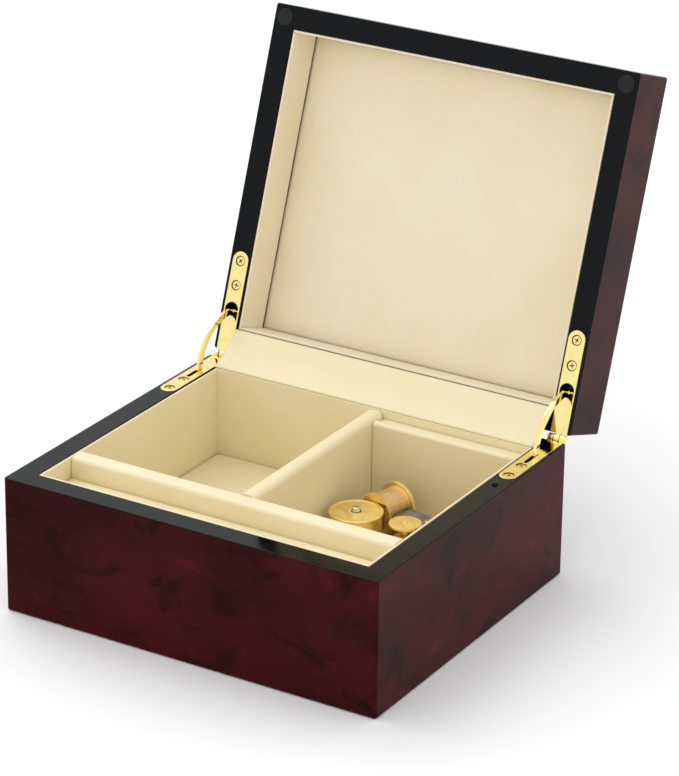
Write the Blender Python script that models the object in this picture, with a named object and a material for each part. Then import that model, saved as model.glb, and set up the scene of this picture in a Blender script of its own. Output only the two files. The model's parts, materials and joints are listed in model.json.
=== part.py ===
"""Wind-up music box: a hinged wooden case with a lined interior and a comb movement.

Metres, +Z up.  The origin is the centre of the underside, +X runs to the right and
-Y to the front.  The lid stands open against its stays; every moving piece hangs from
an empty that lies on its own joint axis.
"""

import math

import bmesh
import bpy
from mathutils import Matrix, Vector

MM = 0.001

# Case
WIDTH = 203 * MM
DEPTH = 176 * MM
WALL = 11.5 * MM
FOOT_LIFT = 0.6 * MM
BASE_RIM = 69.0 * MM
LID_RIM = 69.7 * MM
LID_PANEL_BOTTOM = 96.6 * MM
LID_TOP = 101.0 * MM
GAP = 0.3 * MM
FLAP_REBATE = 0.5 * MM

# Hinge and stays
HINGE_Y = 178.5 * MM
HINGE_Z = 69.3 * MM
LID_OPEN = math.radians(109.4)
LEAF_X = 6.2 * MM
LEAF_WIDTH = 9.0 * MM
LEAF_THICK = 1.0 * MM
LEAF_FRONT = 125.6 * MM
BASE_LEAF_Z = 68.1 * MM
LID_LEAF_Z = 69.5 * MM
KNUCKLE_RADIUS = 2.2 * MM
PIN_RADIUS = 1.0 * MM
SCREW_ROWS = (130.4 * MM, 142.8 * MM)
STAY_PIVOT_Y = 155.8 * MM
STAY_PIVOT_Z = 71.5 * MM
STAY_CENTRE_Y = 182.3 * MM
STAY_CENTRE_Z = 64.4 * MM
STAY_END_ANGLE = math.radians(182)
STAY_HALF_WIDTH = 1.8 * MM
STAY_THICK = 1.6 * MM
RIVET_RADIUS = 0.9 * MM
RIVET_REACH = 3.4 * MM
SLOT_HALF = 1.3 * MM
BASE_SLOT_Y = (146.1 * MM, 158.9 * MM)
LID_SLOT_Y = (151.4 * MM, 158.6 * MM)
POCKET_HALF = 2.2 * MM
BASE_POCKET_Y = (145.2 * MM, 166.6 * MM)
BASE_POCKET_BOTTOM = 25.0 * MM
LID_POCKET_Y = (151.2 * MM, 158.8 * MM)
LID_POCKET_TOP = 74.2 * MM
SCREW_HEAD = 2.3 * MM
SCREW_SHANK = 1.1 * MM
SCREW_LENGTH = 6.0 * MM

# Interior
LINER = 1.2 * MM
LINER_FACE = 13.0 * MM
LINER_TOP = 68.8 * MM
PANEL_Z = (1.2 * MM, 5.2 * MM)
FLOOR_Z = (13.4 * MM, 17.1 * MM)
LINING_BOTTOM = 17.4 * MM
FLOOR_TOP = 21.4 * MM
LONG_DIVIDER_TOP = 69.0 * MM
CROSS_DIVIDER_TOP = 68.8 * MM
LONG_DIVIDER_ROUND = 2.4 * MM
CROSS_DIVIDER_ROUND = 3.2 * MM
LEDGE_NOSE = 2.5 * MM
KEY_OPENING = 22.0 * MM
FELT_OPENING = 24.0 * MM
FELT_EDGE = 13.0 * MM
FELT_THICK = 0.9 * MM
LID_LINER_BOTTOM = 70.3 * MM
LID_PAD_BOTTOM = 92.0 * MM
BUMPER_INSET = 6.3 * MM
BUMPER_RADIUS = 4.4 * MM
FLAP_START = (165.4 * MM, 69.7 * MM)
FLAP_END = (182.7 * MM, 82.2 * MM)
FLAP_THICK = 0.6 * MM
JEWELRY_PAD_TOP = 24.0 * MM
TRAY_Z = (53.0 * MM, 59.5 * MM)
LONG_DIVIDER_Y = (36.0 * MM, 45.8 * MM)
CROSS_DIVIDER_X = (101.0 * MM, 109.5 * MM)
LEDGE_FRONT = 152.0 * MM
LEDGE_TOP = 66.8 * MM

# Movement, in its own turned frame: the barrel's axis is its origin
BARREL_X = 126.7 * MM
BARREL_Y = 109.0 * MM
MOVEMENT_TURN = math.radians(-10.5)
BARREL_RADIUS = 13.15 * MM
BARREL_TOP = 41.0 * MM
RING_RADIUS = 14.4 * MM
CYLINDER_Z = 35.3 * MM
CYLINDER_RADIUS = 8.0 * MM
CYLINDER_GEAR_RADIUS = 9.6 * MM
CYLINDER_FLANGE_RADIUS = 10.3 * MM
GOVERNOR_X = 21.73 * MM
GOVERNOR_Y = 10.64 * MM
GOVERNOR_WHEEL_RADIUS = 9.45 * MM
GOVERNOR_DISC_RADIUS = 7.9 * MM
FAN_X = GOVERNOR_X + 9.8 * MM
COMB_TEETH = 18
COMB_Y = (16.2 * MM, 29.2 * MM)
COMB_X = (8.6 * MM, 31.0 * MM)
COMB_ROOT = 19.8 * MM
COMB_Z = (33.8 * MM, 35.0 * MM)
STOP_X = 196.6 * MM
STOP_Y = 117.3 * MM
LEVER_PIVOT_X = 183.0 * MM
LEVER_PIVOT_Z = 25.0 * MM

PALETTE = {
    "veneer": ((0.055, 0.010, 0.014), 0.12, 0.0),
    "cream_lining": ((0.80, 0.69, 0.48), 0.80, 0.0),
    "gold": ((0.86, 0.62, 0.22), 0.18, 1.0),
    "brass": ((0.80, 0.60, 0.30), 0.28, 1.0),
    "steel": ((0.30, 0.30, 0.31), 0.30, 1.0),
    "fibreboard": ((0.30, 0.20, 0.12), 0.70, 0.0),
    "felt": ((0.02, 0.02, 0.02), 0.95, 0.0),
    "bumper": ((0.015, 0.015, 0.015), 0.55, 0.0),
}


# Helpers

def make_material(name):
    colour, roughness, metallic = PALETTE[name]
    material = bpy.data.materials.new(name)
    material.use_nodes = True
    shader = material.node_tree.nodes["Principled BSDF"]
    shader.inputs["Base Color"].default_value = (*colour, 1.0)
    shader.inputs["Roughness"].default_value = roughness
    shader.inputs["Metallic"].default_value = metallic
    return material


def make_empty(name, parent=None, location=(0, 0, 0), rotation=(0, 0, 0)):
    empty = bpy.data.objects.new(name, None)
    bpy.context.collection.objects.link(empty)
    empty.parent = parent
    empty.location = location
    empty.rotation_euler = rotation
    return empty


def finish(name, bm, material, parent, centre=(0, 0, 0), location=None):
    """Make an object whose mesh is measured from centre, placed at location."""
    bmesh.ops.translate(bm, vec=-Vector(centre), verts=bm.verts)
    bmesh.ops.recalc_face_normals(bm, faces=bm.faces)
    mesh = bpy.data.meshes.new(name)
    bm.to_mesh(mesh)
    bm.free()
    mesh.shade_smooth()
    mesh.set_sharp_from_angle(angle=math.radians(35))
    mesh.materials.append(material)
    thing = bpy.data.objects.new(name, mesh)
    bpy.context.collection.objects.link(thing)
    thing.parent = parent
    thing.location = centre if location is None else location
    return thing


def block_mesh(low, high):
    bm = bmesh.new()
    size = Vector(high) - Vector(low)
    middle = (Vector(high) + Vector(low)) / 2
    bmesh.ops.create_cube(bm, size=1.0)
    bmesh.ops.scale(bm, vec=size, verts=bm.verts)
    bmesh.ops.translate(bm, vec=middle, verts=bm.verts)
    return bm


def extruded_mesh(outline, axis, low, high):
    """Extrude a closed outline along an axis; outline points are the other two axes."""
    order = {"X": (2, 0, 1), "Y": (0, 2, 1), "Z": (0, 1, 2)}[axis]
    bm = bmesh.new()
    corners = []
    for first, second in outline:
        values = (first, second, low)
        corners.append(bm.verts.new([values[index] for index in order]))
    face = bm.faces.new(corners)
    raised = bmesh.ops.extrude_face_region(bm, geom=[face])
    moved = [item for item in raised["geom"] if isinstance(item, bmesh.types.BMVert)]
    lift = Vector([0.0, 0.0, 0.0])
    lift["XYZ".index(axis)] = high - low
    bmesh.ops.translate(bm, vec=lift, verts=moved)
    return bm


def turned_mesh(profile, axis="Z", segments=32, bored=False):
    """Spin (radius, height) points about an axis; a bored profile is a closed loop."""
    bm = bmesh.new()
    points = [bm.verts.new((radius, 0, height)) for radius, height in profile]
    edges = [bm.edges.new(pair) for pair in zip(points, points[1:])]
    if bored:
        edges.append(bm.edges.new((points[-1], points[0])))
    bmesh.ops.spin(bm, geom=points + edges, cent=(0, 0, 0), axis=(0, 0, 1),
                   angle=2 * math.pi, steps=segments, use_merge=True)
    bmesh.ops.remove_doubles(bm, verts=bm.verts, dist=0.000001)
    turn = {"X": Matrix.Rotation(math.pi / 2, 4, "Y"),
            "Y": Matrix.Rotation(-math.pi / 2, 4, "X"),
            "Z": Matrix.Identity(4)}[axis]
    bmesh.ops.transform(bm, matrix=turn, verts=bm.verts)
    return bm


def rod_profile(radius, low, high):
    return [(0, low), (radius, low), (radius, high), (0, high)]


def shift(bm, x, y, z):
    bmesh.ops.translate(bm, vec=(x, y, z), verts=bm.verts)
    return bm


def arc(centre, radius, start, end, steps):
    """Points of an arc in a plane, both ends included; the angles are in radians."""
    points = []
    for step in range(steps + 1):
        angle = start + (end - start) * step / steps
        points.append((centre[0] + radius * math.cos(angle),
                       centre[1] + radius * math.sin(angle)))
    return points


def combine(things, tool, operation="DIFFERENCE", solver="EXACT"):
    """Add one Boolean of a hidden tool body to each of the things."""
    tool.hide_render = True
    tool.display_type = "WIRE"
    for thing in things:
        modifier = thing.modifiers.new(tool.name, "BOOLEAN")
        modifier.operation = operation
        modifier.object = tool
        modifier.solver = solver


def clear_scene():
    for thing in list(bpy.data.objects):
        bpy.data.objects.remove(thing, do_unlink=True)


# Case

def mitred_walls(prefix, low, high, material, parent, centre=(0, 0, 0)):
    """Four walls whose 45 degree ends stand a hair apart along each mitre."""
    slack = GAP * 0.5
    outlines = {
        "front": [(slack, 0), (WIDTH - slack, 0),
                  (WIDTH - WALL - slack, WALL), (WALL + slack, WALL)],
        "back": [(WALL + slack, DEPTH - WALL), (WIDTH - WALL - slack, DEPTH - WALL),
                 (WIDTH - slack, DEPTH), (slack, DEPTH)],
        "left": [(0, slack), (WALL, WALL + slack),
                 (WALL, DEPTH - WALL - slack), (0, DEPTH - slack)],
        "right": [(WIDTH, slack), (WIDTH, DEPTH - slack),
                  (WIDTH - WALL, DEPTH - WALL - slack), (WIDTH - WALL, WALL + slack)],
    }
    walls = {}
    for side, outline in outlines.items():
        bm = extruded_mesh(outline, "Z", low, high)
        walls[side] = finish(f"{prefix}_{side}_wall", bm, material, parent, centre)
    return walls


def ring_mesh(low, high, inset, thickness):
    """A four-sided sleeve that stands against the walls' inner faces."""
    outer = (Vector((inset, inset)), Vector((WIDTH - inset, DEPTH - inset)))
    bm = bmesh.new()
    sides = []
    for step in (0, thickness):
        left, front = outer[0] + Vector((step, step))
        right, back = outer[1] - Vector((step, step))
        loop = [(left, front), (right, front), (right, back), (left, back)]
        sides.append([bm.verts.new((x, y, low)) for x, y in loop])
    faces = []
    for index in range(4):
        after = (index + 1) % 4
        quad = (sides[0][index], sides[0][after], sides[1][after], sides[1][index])
        faces.append(bm.faces.new(quad))
    raised = bmesh.ops.extrude_face_region(bm, geom=faces)
    moved = [item for item in raised["geom"] if isinstance(item, bmesh.types.BMVert)]
    bmesh.ops.translate(bm, vec=(0, 0, high - low), verts=moved)
    return bm


def build_case(skin, parent):
    walls = mitred_walls("base", FOOT_LIFT, BASE_RIM, skin["veneer"], parent)
    inner = WALL + GAP
    key_hole = shift(turned_mesh(rod_profile(KEY_OPENING, 0.5 * MM, 6 * MM), segments=40),
                     BARREL_X, BARREL_Y, 0)
    panel = finish("base_bottom_panel",
                   block_mesh((inner, inner, PANEL_Z[0]),
                              (WIDTH - inner, DEPTH - inner, PANEL_Z[1])),
                   skin["fibreboard"], parent)
    combine([panel], finish("key_opening_cutter", key_hole, skin["fibreboard"], parent))
    felt = finish("base_felt",
                  block_mesh((FELT_EDGE, FELT_EDGE, 0),
                             (WIDTH - FELT_EDGE, DEPTH - FELT_EDGE, FELT_THICK)),
                  skin["felt"], parent)
    felt_hole = shift(turned_mesh(rod_profile(FELT_OPENING, -1 * MM, 2 * MM), segments=40),
                      BARREL_X, BARREL_Y, 0)
    combine([felt], finish("felt_opening_cutter", felt_hole, skin["felt"], parent))
    floor = finish("base_inner_floor",
                   block_mesh((inner, inner, FLOOR_Z[0]),
                              (WIDTH - inner, DEPTH - inner, FLOOR_Z[1])),
                   skin["fibreboard"], parent)
    arbor_hole = shift(turned_mesh(rod_profile(4.5 * MM, 12 * MM, 18 * MM), segments=24),
                       BARREL_X, BARREL_Y, 0)
    combine([floor], finish("floor_bore_cutter", arbor_hole, skin["fibreboard"], parent))
    return walls


def rounded_wall_outline(low, high, bottom, top, radius):
    """Cross-section of a padded divider with rounded shoulders."""
    shoulders = arc((high - radius, top - radius), radius, 0, math.pi / 2, 6)
    shoulders += arc((low + radius, top - radius), radius, math.pi / 2, math.pi, 6)
    return [(low, bottom), (high, bottom)] + shoulders


def build_lining(skin, parent):
    cream = skin["cream_lining"]
    inner = WALL + GAP
    liner = finish("base_liner", ring_mesh(LINING_BOTTOM, LINER_TOP, inner, LINER),
                   cream, parent)
    low_x = LINER_FACE + GAP
    high_x = WIDTH - low_x
    low_y = LINER_FACE + GAP
    high_y = DEPTH - low_y
    outline = rounded_wall_outline(*LONG_DIVIDER_Y, LINING_BOTTOM, LONG_DIVIDER_TOP,
                                   LONG_DIVIDER_ROUND)
    finish("long_divider", extruded_mesh(outline, "X", low_x, high_x), cream, parent)
    outline = rounded_wall_outline(*CROSS_DIVIDER_X, LINING_BOTTOM, CROSS_DIVIDER_TOP,
                                   CROSS_DIVIDER_ROUND)
    front = LONG_DIVIDER_Y[1] + GAP
    finish("cross_divider", extruded_mesh(outline, "Y", front, high_y), cream, parent)
    finish("jewelry_floor_pad",
           block_mesh((low_x, front, LINING_BOTTOM),
                      (CROSS_DIVIDER_X[0] - GAP, high_y, JEWELRY_PAD_TOP)), cream, parent)
    finish("tray_floor_pad",
           block_mesh((low_x, low_y, TRAY_Z[0]),
                      (high_x, LONG_DIVIDER_Y[0] - GAP, TRAY_Z[1])), cream, parent)
    bay_left = CROSS_DIVIDER_X[1] + GAP
    ledge_outline = [(high_y, LINING_BOTTOM), (high_y, LEDGE_TOP)]
    ledge_outline += arc((LEDGE_FRONT + LEDGE_NOSE, LEDGE_TOP - LEDGE_NOSE), LEDGE_NOSE,
                         math.pi / 2, math.pi, 6)
    ledge_outline.append((LEDGE_FRONT, LINING_BOTTOM))
    finish("ledge_panel", extruded_mesh(ledge_outline, "X", bay_left, high_x),
           cream, parent)
    board = finish("movement_board",
                   block_mesh((bay_left, front, LINING_BOTTOM),
                              (high_x, LEDGE_FRONT - GAP, FLOOR_TOP - GAP)),
                   cream, parent)
    recess = shift(turned_mesh(rod_profile(11 * MM, 17 * MM, 22 * MM), segments=32),
                   BARREL_X, BARREL_Y, 0)
    combine([board], finish("ratchet_recess_cutter", recess, cream, parent))
    return liner, board


def build_flap(skin, parent):
    """The cloth gusset across the back, from the base rim up to the lid rim."""
    start = Vector(FLAP_START)
    end = Vector(FLAP_END)
    along = (end - start).normalized()
    across = Vector((-along.y, along.x)) * FLAP_THICK / 2
    outline = [start - across, end - across, end + across, start + across]
    side = LEAF_X + LEAF_WIDTH / 2 + 1.5 * MM
    finish("hinge_flap", extruded_mesh([tuple(point) for point in outline], "X",
                                       side, WIDTH - side), skin["cream_lining"], parent)


# Lid

def build_lid(skin, parent, axis_point):
    walls = mitred_walls("lid", LID_RIM, LID_PANEL_BOTTOM - GAP, skin["veneer"],
                         parent, axis_point)
    for wall in walls.values():
        wall.location = (0, 0, 0)
    finish("lid_top_panel", block_mesh((0, 0, LID_PANEL_BOTTOM), (WIDTH, DEPTH, LID_TOP)),
           skin["veneer"], parent, axis_point, (0, 0, 0))
    inner = WALL + GAP
    finish("lid_liner", ring_mesh(LID_LINER_BOTTOM, LID_PAD_BOTTOM - GAP, inner, LINER),
           skin["cream_lining"], parent, axis_point, (0, 0, 0))
    finish("lid_floor_pad",
           block_mesh((inner, inner, LID_PAD_BOTTOM),
                      (WIDTH - inner, DEPTH - inner, LID_PANEL_BOTTOM - GAP)),
           skin["cream_lining"], parent, axis_point, (0, 0, 0))
    for side, x in (("left", BUMPER_INSET), ("right", WIDTH - BUMPER_INSET)):
        disc = turned_mesh(rod_profile(BUMPER_RADIUS, 0, 0.4 * MM), segments=24)
        shift(disc, x, BUMPER_INSET, LID_RIM - 0.5 * MM)
        seat = turned_mesh(rod_profile(BUMPER_RADIUS + GAP, 0, 1.0 * MM), segments=24)
        shift(seat, x, BUMPER_INSET, LID_RIM - 0.5 * MM)
        finish(f"lid_bumper_{side}", disc, skin["bumper"], parent, axis_point, (0, 0, 0))
        cutter = finish(f"bumper_seat_cutter_{side}", seat, skin["bumper"], parent,
                        axis_point, (0, 0, 0))
        combine([walls["front"], walls[side]], cutter)
    return walls


# Hinges and stays

def leaf_outline(centre, tail):
    """Plan of a hinge leaf: a round nose at the front and square sides to the tail."""
    half = LEAF_WIDTH / 2
    nose = arc((centre, LEAF_FRONT + half), half, math.pi, 2 * math.pi, 10)
    return nose + [(centre + half, tail), (centre - half, tail)]


def knuckle_spans(centre):
    """X spans of the three knuckles: base, lid, base."""
    third = (LEAF_WIDTH - 2 * GAP) / 3
    left = centre - LEAF_WIDTH / 2
    return [(left + index * (third + GAP), left + index * (third + GAP) + third)
            for index in range(3)]


def across_rod(radius, low, high, y, z, segments=16):
    return shift(turned_mesh(rod_profile(radius, low, high), "X", segments), 0, y, z)


def screw_mesh(direction, head=SCREW_HEAD, shank=SCREW_SHANK, length=SCREW_LENGTH,
               segments=12):
    """A countersunk screw with its face at height 0 and its shank towards direction."""
    profile = [(0, 0), (head, 0), (head, direction * 0.2 * MM),
               (shank, direction * 1.3 * MM), (shank, direction * length),
               (0, direction * (length + 0.8 * MM))]
    return turned_mesh(profile, "Z", segments)


def build_hinge(side, centre, skin, base, lid, axis_point, walls):
    gold = skin["gold"]
    spans = knuckle_spans(centre)

    def lid_piece(name, bm, material=gold):
        return finish(name, bm, material, lid, axis_point, (0, 0, 0))

    # Base leaf: plate, two knuckles and the pin that runs through all three
    leaf = finish(f"base_leaf_{side}",
                  extruded_mesh(leaf_outline(centre, HINGE_Y - 0.6 * MM), "Z", BASE_LEAF_Z,
                                BASE_LEAF_Z + LEAF_THICK), gold, base)
    for index in (0, 2):
        knuckle = across_rod(KNUCKLE_RADIUS, *spans[index], HINGE_Y, HINGE_Z)
        combine([leaf], finish(f"base_knuckle_tool_{side}_{index}", knuckle, gold, base),
                "UNION", "MANIFOLD")
    low, high = spans[1]
    window = block_mesh((low - GAP, DEPTH - 0.1 * MM, 60 * MM),
                        (high + GAP, DEPTH + 9 * MM, 80 * MM))
    combine([leaf], finish(f"base_window_tool_{side}", window, gold, base),
            solver="MANIFOLD")
    pin = across_rod(PIN_RADIUS, spans[0][0] - 0.4 * MM, spans[2][1] + 0.4 * MM,
                     HINGE_Y, HINGE_Z)
    combine([leaf], finish(f"hinge_pin_tool_{side}", pin, gold, base), "UNION", "MANIFOLD")
    slot = block_mesh((centre - SLOT_HALF, BASE_SLOT_Y[0], 66 * MM),
                      (centre + SLOT_HALF, BASE_SLOT_Y[1], 71 * MM))
    combine([leaf], finish(f"base_slot_tool_{side}", slot, gold, base), solver="MANIFOLD")

    # Lid leaf: plate and the middle knuckle, bored for the pin
    plate = lid_piece(f"lid_leaf_{side}",
                      extruded_mesh(leaf_outline(centre, HINGE_Y - 0.6 * MM), "Z",
                                    LID_LEAF_Z, LID_LEAF_Z + LEAF_THICK))
    for index in (0, 2):
        low, high = spans[index]
        outer = 1 * MM
        window = block_mesh((low - (outer if index == 0 else GAP), DEPTH - 0.1 * MM, 60 * MM),
                            (high + (outer if index == 2 else GAP), DEPTH + 9 * MM, 80 * MM))
        combine([plate], lid_piece(f"lid_window_tool_{side}_{index}", window),
                solver="MANIFOLD")
    combine([plate], lid_piece(f"lid_knuckle_tool_{side}",
                               across_rod(KNUCKLE_RADIUS, *spans[1], HINGE_Y, HINGE_Z)),
            "UNION", "MANIFOLD")
    bore = across_rod(PIN_RADIUS + GAP, spans[0][0], spans[2][1], HINGE_Y, HINGE_Z)
    combine([plate], lid_piece(f"lid_bore_tool_{side}", bore), solver="MANIFOLD")
    slot = block_mesh((centre - SLOT_HALF, LID_SLOT_Y[0], 68 * MM),
                      (centre + SLOT_HALF, LID_SLOT_Y[1], 72 * MM))
    combine([plate], lid_piece(f"lid_slot_tool_{side}", slot), solver="MANIFOLD")

    # Mortises that the leaves lie in and the pockets that the stay runs in
    half = LEAF_WIDTH / 2 + GAP
    front = LEAF_FRONT - GAP
    mortise = block_mesh((centre - half, front, BASE_LEAF_Z - GAP),
                         (centre + half, DEPTH + 5 * MM, BASE_RIM + 1 * MM))
    pocket = block_mesh((centre - POCKET_HALF, BASE_POCKET_Y[0], BASE_POCKET_BOTTOM),
                        (centre + POCKET_HALF, BASE_POCKET_Y[1], BASE_RIM + 1 * MM))
    base_walls = [walls["base"][side], walls["base"]["back"]]
    combine(base_walls, finish(f"base_mortise_cutter_{side}", mortise, gold, base))
    combine(base_walls[:1], finish(f"base_pocket_cutter_{side}", pocket, gold, base))
    lid_top = LID_LEAF_Z + LEAF_THICK + GAP
    mortise = block_mesh((centre - half, front, LID_RIM - 1 * MM),
                         (centre + half, DEPTH + 5 * MM, lid_top))
    pocket = block_mesh((centre - POCKET_HALF, LID_POCKET_Y[0], LID_RIM - 1 * MM),
                        (centre + POCKET_HALF, LID_POCKET_Y[1], LID_POCKET_TOP))
    seat_reach = RIVET_REACH + 0.4 * MM
    pin_seat = across_rod(RIVET_RADIUS + GAP, centre - seat_reach, centre + seat_reach,
                          STAY_PIVOT_Y, STAY_PIVOT_Z, 16)
    lid_walls = [walls["lid"][side], walls["lid"]["back"]]
    combine(lid_walls, lid_piece(f"lid_mortise_cutter_{side}", mortise))
    combine(lid_walls[:1], lid_piece(f"lid_pocket_cutter_{side}", pocket))
    combine(lid_walls[:1], lid_piece(f"lid_pin_seat_cutter_{side}", pin_seat))

    # Two screws in each leaf, flush with its face
    for number, row in enumerate(SCREW_ROWS, 1):
        face = BASE_LEAF_Z + LEAF_THICK
        screw = shift(screw_mesh(-1), centre, row, face)
        finish(f"base_screw_{side}_{number}", screw, gold, base)
        room = shift(screw_mesh(-1, SCREW_HEAD + GAP, SCREW_SHANK + GAP,
                                SCREW_LENGTH + 0.5 * MM), centre, row, face + 0.05 * MM)
        combine([leaf, base_walls[0]],
                finish(f"base_screw_cutter_{side}_{number}", room, gold, base),
                solver="MANIFOLD")
        screw = shift(screw_mesh(1), centre, row, LID_LEAF_Z)
        lid_piece(f"lid_screw_{side}_{number}", screw)
        room = shift(screw_mesh(1, SCREW_HEAD + GAP, SCREW_SHANK + GAP,
                                SCREW_LENGTH + 0.5 * MM), centre, row,
                     LID_LEAF_Z - 0.05 * MM)
        combine([plate, lid_walls[0]], lid_piece(f"lid_screw_cutter_{side}_{number}", room),
                solver="MANIFOLD")


def build_stay(side, centre, skin, lid, axis_point):
    """A curved strap that hangs from the lid leaf and runs in a slot of the base leaf."""
    pivot_offset = Vector((STAY_PIVOT_Y - HINGE_Y, STAY_PIVOT_Z - HINGE_Z))
    opened = Matrix.Rotation(-LID_OPEN, 2) @ pivot_offset
    pivot = (HINGE_Y + opened.x, HINGE_Z + opened.y)
    curve_centre = (STAY_CENTRE_Y, STAY_CENTRE_Z)
    reach = Vector(pivot) - Vector(curve_centre)
    start = math.atan2(reach.y, reach.x)
    radius = reach.length
    end = STAY_END_ANGLE
    foot = (curve_centre[0] + radius * math.cos(end), curve_centre[1] + radius * math.sin(end))
    outline = arc(curve_centre, radius + STAY_HALF_WIDTH, start, end, 16)
    outline += arc(foot, STAY_HALF_WIDTH, end, end + math.pi, 6)[1:-1]
    outline += arc(curve_centre, radius - STAY_HALF_WIDTH, end, start, 16)
    outline += arc(pivot, STAY_HALF_WIDTH, start + math.pi, start + 2 * math.pi, 6)[1:-1]
    empty = make_empty(f"stay_axis_{side}", lid,
                       (centre - axis_point[0], pivot_offset.x, pivot_offset.y),
                       (LID_OPEN, 0, 0))
    strap = extruded_mesh(outline, "X", -STAY_THICK / 2, STAY_THICK / 2)
    shift(strap, 0, -pivot[0], -pivot[1])
    stay = finish(f"stay_arm_{side}", strap, skin["gold"], empty)
    rivet = turned_mesh(rod_profile(RIVET_RADIUS, -RIVET_REACH, RIVET_REACH), "X", 16)
    combine([stay], finish(f"stay_rivet_tool_{side}", rivet, skin["gold"], empty), "UNION")


# Movement

def build_barrel(skin, frame):
    """Spring barrel, its cap, the spring, and the arbor and key that wind it."""
    brass = skin["brass"]
    bore = 2.4 * MM
    body = 12.4 * MM
    hollow = 11.6 * MM
    cap_bottom = BARREL_TOP - 1.2 * MM
    axis = make_empty("barrel_axis", frame)
    profile = [(bore, 24.0 * MM), (RING_RADIUS, 24.0 * MM), (RING_RADIUS, 25.4 * MM),
               (body, 25.4 * MM), (body, cap_bottom - GAP), (hollow, cap_bottom - GAP),
               (hollow, 26.6 * MM), (bore, 26.6 * MM)]
    finish("barrel_cup", turned_mesh(profile, "Z", 36, bored=True), brass, axis)
    profile = [(bore, cap_bottom), (BARREL_RADIUS, cap_bottom), (BARREL_RADIUS, BARREL_TOP),
               (bore, BARREL_TOP)]
    finish("barrel_cap", turned_mesh(profile, "Z", 36, bored=True), brass, axis)
    finish("mainspring", spring_mesh(), skin["steel"], axis)

    winding = make_empty("winding_axis", frame)
    tooth = 6 * MM
    profile = [(0, 9.6 * MM), (2.0 * MM, 9.6 * MM), (2.0 * MM, 18.4 * MM),
               (tooth, 18.4 * MM), (tooth, 20.2 * MM), (2.0 * MM, 20.2 * MM),
               (2.0 * MM, 41.6 * MM), (2.2 * MM, 41.6 * MM), (2.2 * MM, 43.2 * MM),
               (0, 43.2 * MM)]
    finish("winding_arbor", turned_mesh(profile, "Z", 18), skin["steel"], winding)
    hub = turned_mesh([(0, 6.6 * MM), (4 * MM, 6.6 * MM), (4 * MM, 12.8 * MM),
                       (2.3 * MM, 12.8 * MM), (2.3 * MM, 9.3 * MM), (0, 9.3 * MM)], "Z", 18)
    key = finish("wind_key", hub, brass, winding)
    wing = [(-11 * MM, 4.6 * MM)]
    wing += arc((-8 * MM, 4.6 * MM), 3 * MM, math.pi, 1.5 * math.pi, 5)[1:]
    wing += arc((8 * MM, 4.6 * MM), 3 * MM, 1.5 * math.pi, 2 * math.pi, 5)
    wing += [(11 * MM, 7.4 * MM), (3.5 * MM, 9.0 * MM), (-3.5 * MM, 9.0 * MM),
             (-11 * MM, 7.4 * MM)]
    plate = extruded_mesh(wing, "Y", -0.9 * MM, 0.9 * MM)
    combine([key], finish("key_wing_tool", plate, brass, winding), "UNION")

    click = arc((0, 0), 7.0 * MM, math.radians(20), math.radians(110), 10)
    click += arc((0, 0), 7.8 * MM, math.radians(110), math.radians(20), 10)
    finish("ratchet_click", extruded_mesh(click, "Z", 18.6 * MM, 20.0 * MM),
           skin["steel"], frame)


def spring_mesh(turns=4, per_turn=12):
    """A flat ribbon wound in an even spiral inside the barrel."""
    inner, outer, thick = 3.4 * MM, 11.0 * MM, 0.45 * MM
    steps = turns * per_turn
    faces = []
    for offset in (0.0, thick):
        line = []
        for step in range(steps + 1):
            angle = 2 * math.pi * step / per_turn
            radius = inner + (outer - inner - thick) * step / steps + offset
            line.append((radius * math.cos(angle), radius * math.sin(angle)))
        faces.append(line)
    outline = faces[1] + faces[0][::-1]
    return extruded_mesh(outline, "Z", 27.0 * MM, 39.0 * MM)


def build_cylinder(skin, frame):
    brass = skin["brass"]
    axis = make_empty("cylinder_axis", frame, (0, 0, CYLINDER_Z))
    bore = 1.8 * MM
    profile = [(bore, 13.5 * MM), (CYLINDER_GEAR_RADIUS, 13.5 * MM),
               (CYLINDER_GEAR_RADIUS, 15.0 * MM), (7.2 * MM, 15.0 * MM),
               (7.2 * MM, 15.8 * MM), (CYLINDER_RADIUS, 15.8 * MM),
               (CYLINDER_RADIUS, 29.5 * MM), (CYLINDER_FLANGE_RADIUS, 29.5 * MM),
               (CYLINDER_FLANGE_RADIUS, 31.3 * MM), (bore, 31.3 * MM)]
    finish("music_cylinder", turned_mesh(profile, "Y", 32, bored=True), brass, axis)
    bracket = finish("cylinder_bracket",
                     block_mesh((-6 * MM, 32.0 * MM, 23.3 * MM),
                                (6 * MM, 33.4 * MM, 41 * MM)), brass, frame)
    axle = shift(turned_mesh(rod_profile(1.5 * MM, 13.8 * MM, 33.0 * MM), "Y", 20),
                 0, 0, CYLINDER_Z)
    combine([bracket], finish("cylinder_axle_tool", axle, skin["steel"], frame), "UNION")


def comb_outline():
    """Plan of the comb: one tooth per step, all springing from a plain root."""
    pitch = (COMB_Y[1] - COMB_Y[0]) / COMB_TEETH
    slit = pitch * 0.3
    points = [(COMB_X[1], COMB_Y[1]), (COMB_X[1], COMB_Y[0])]
    for tooth in range(COMB_TEETH):
        low = COMB_Y[0] + tooth * pitch
        high = low + pitch - (slit if tooth < COMB_TEETH - 1 else 0)
        points += [(COMB_X[0], low), (COMB_X[0], high)]
        if tooth < COMB_TEETH - 1:
            points += [(COMB_ROOT, high), (COMB_ROOT, low + pitch)]
    return points


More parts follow.
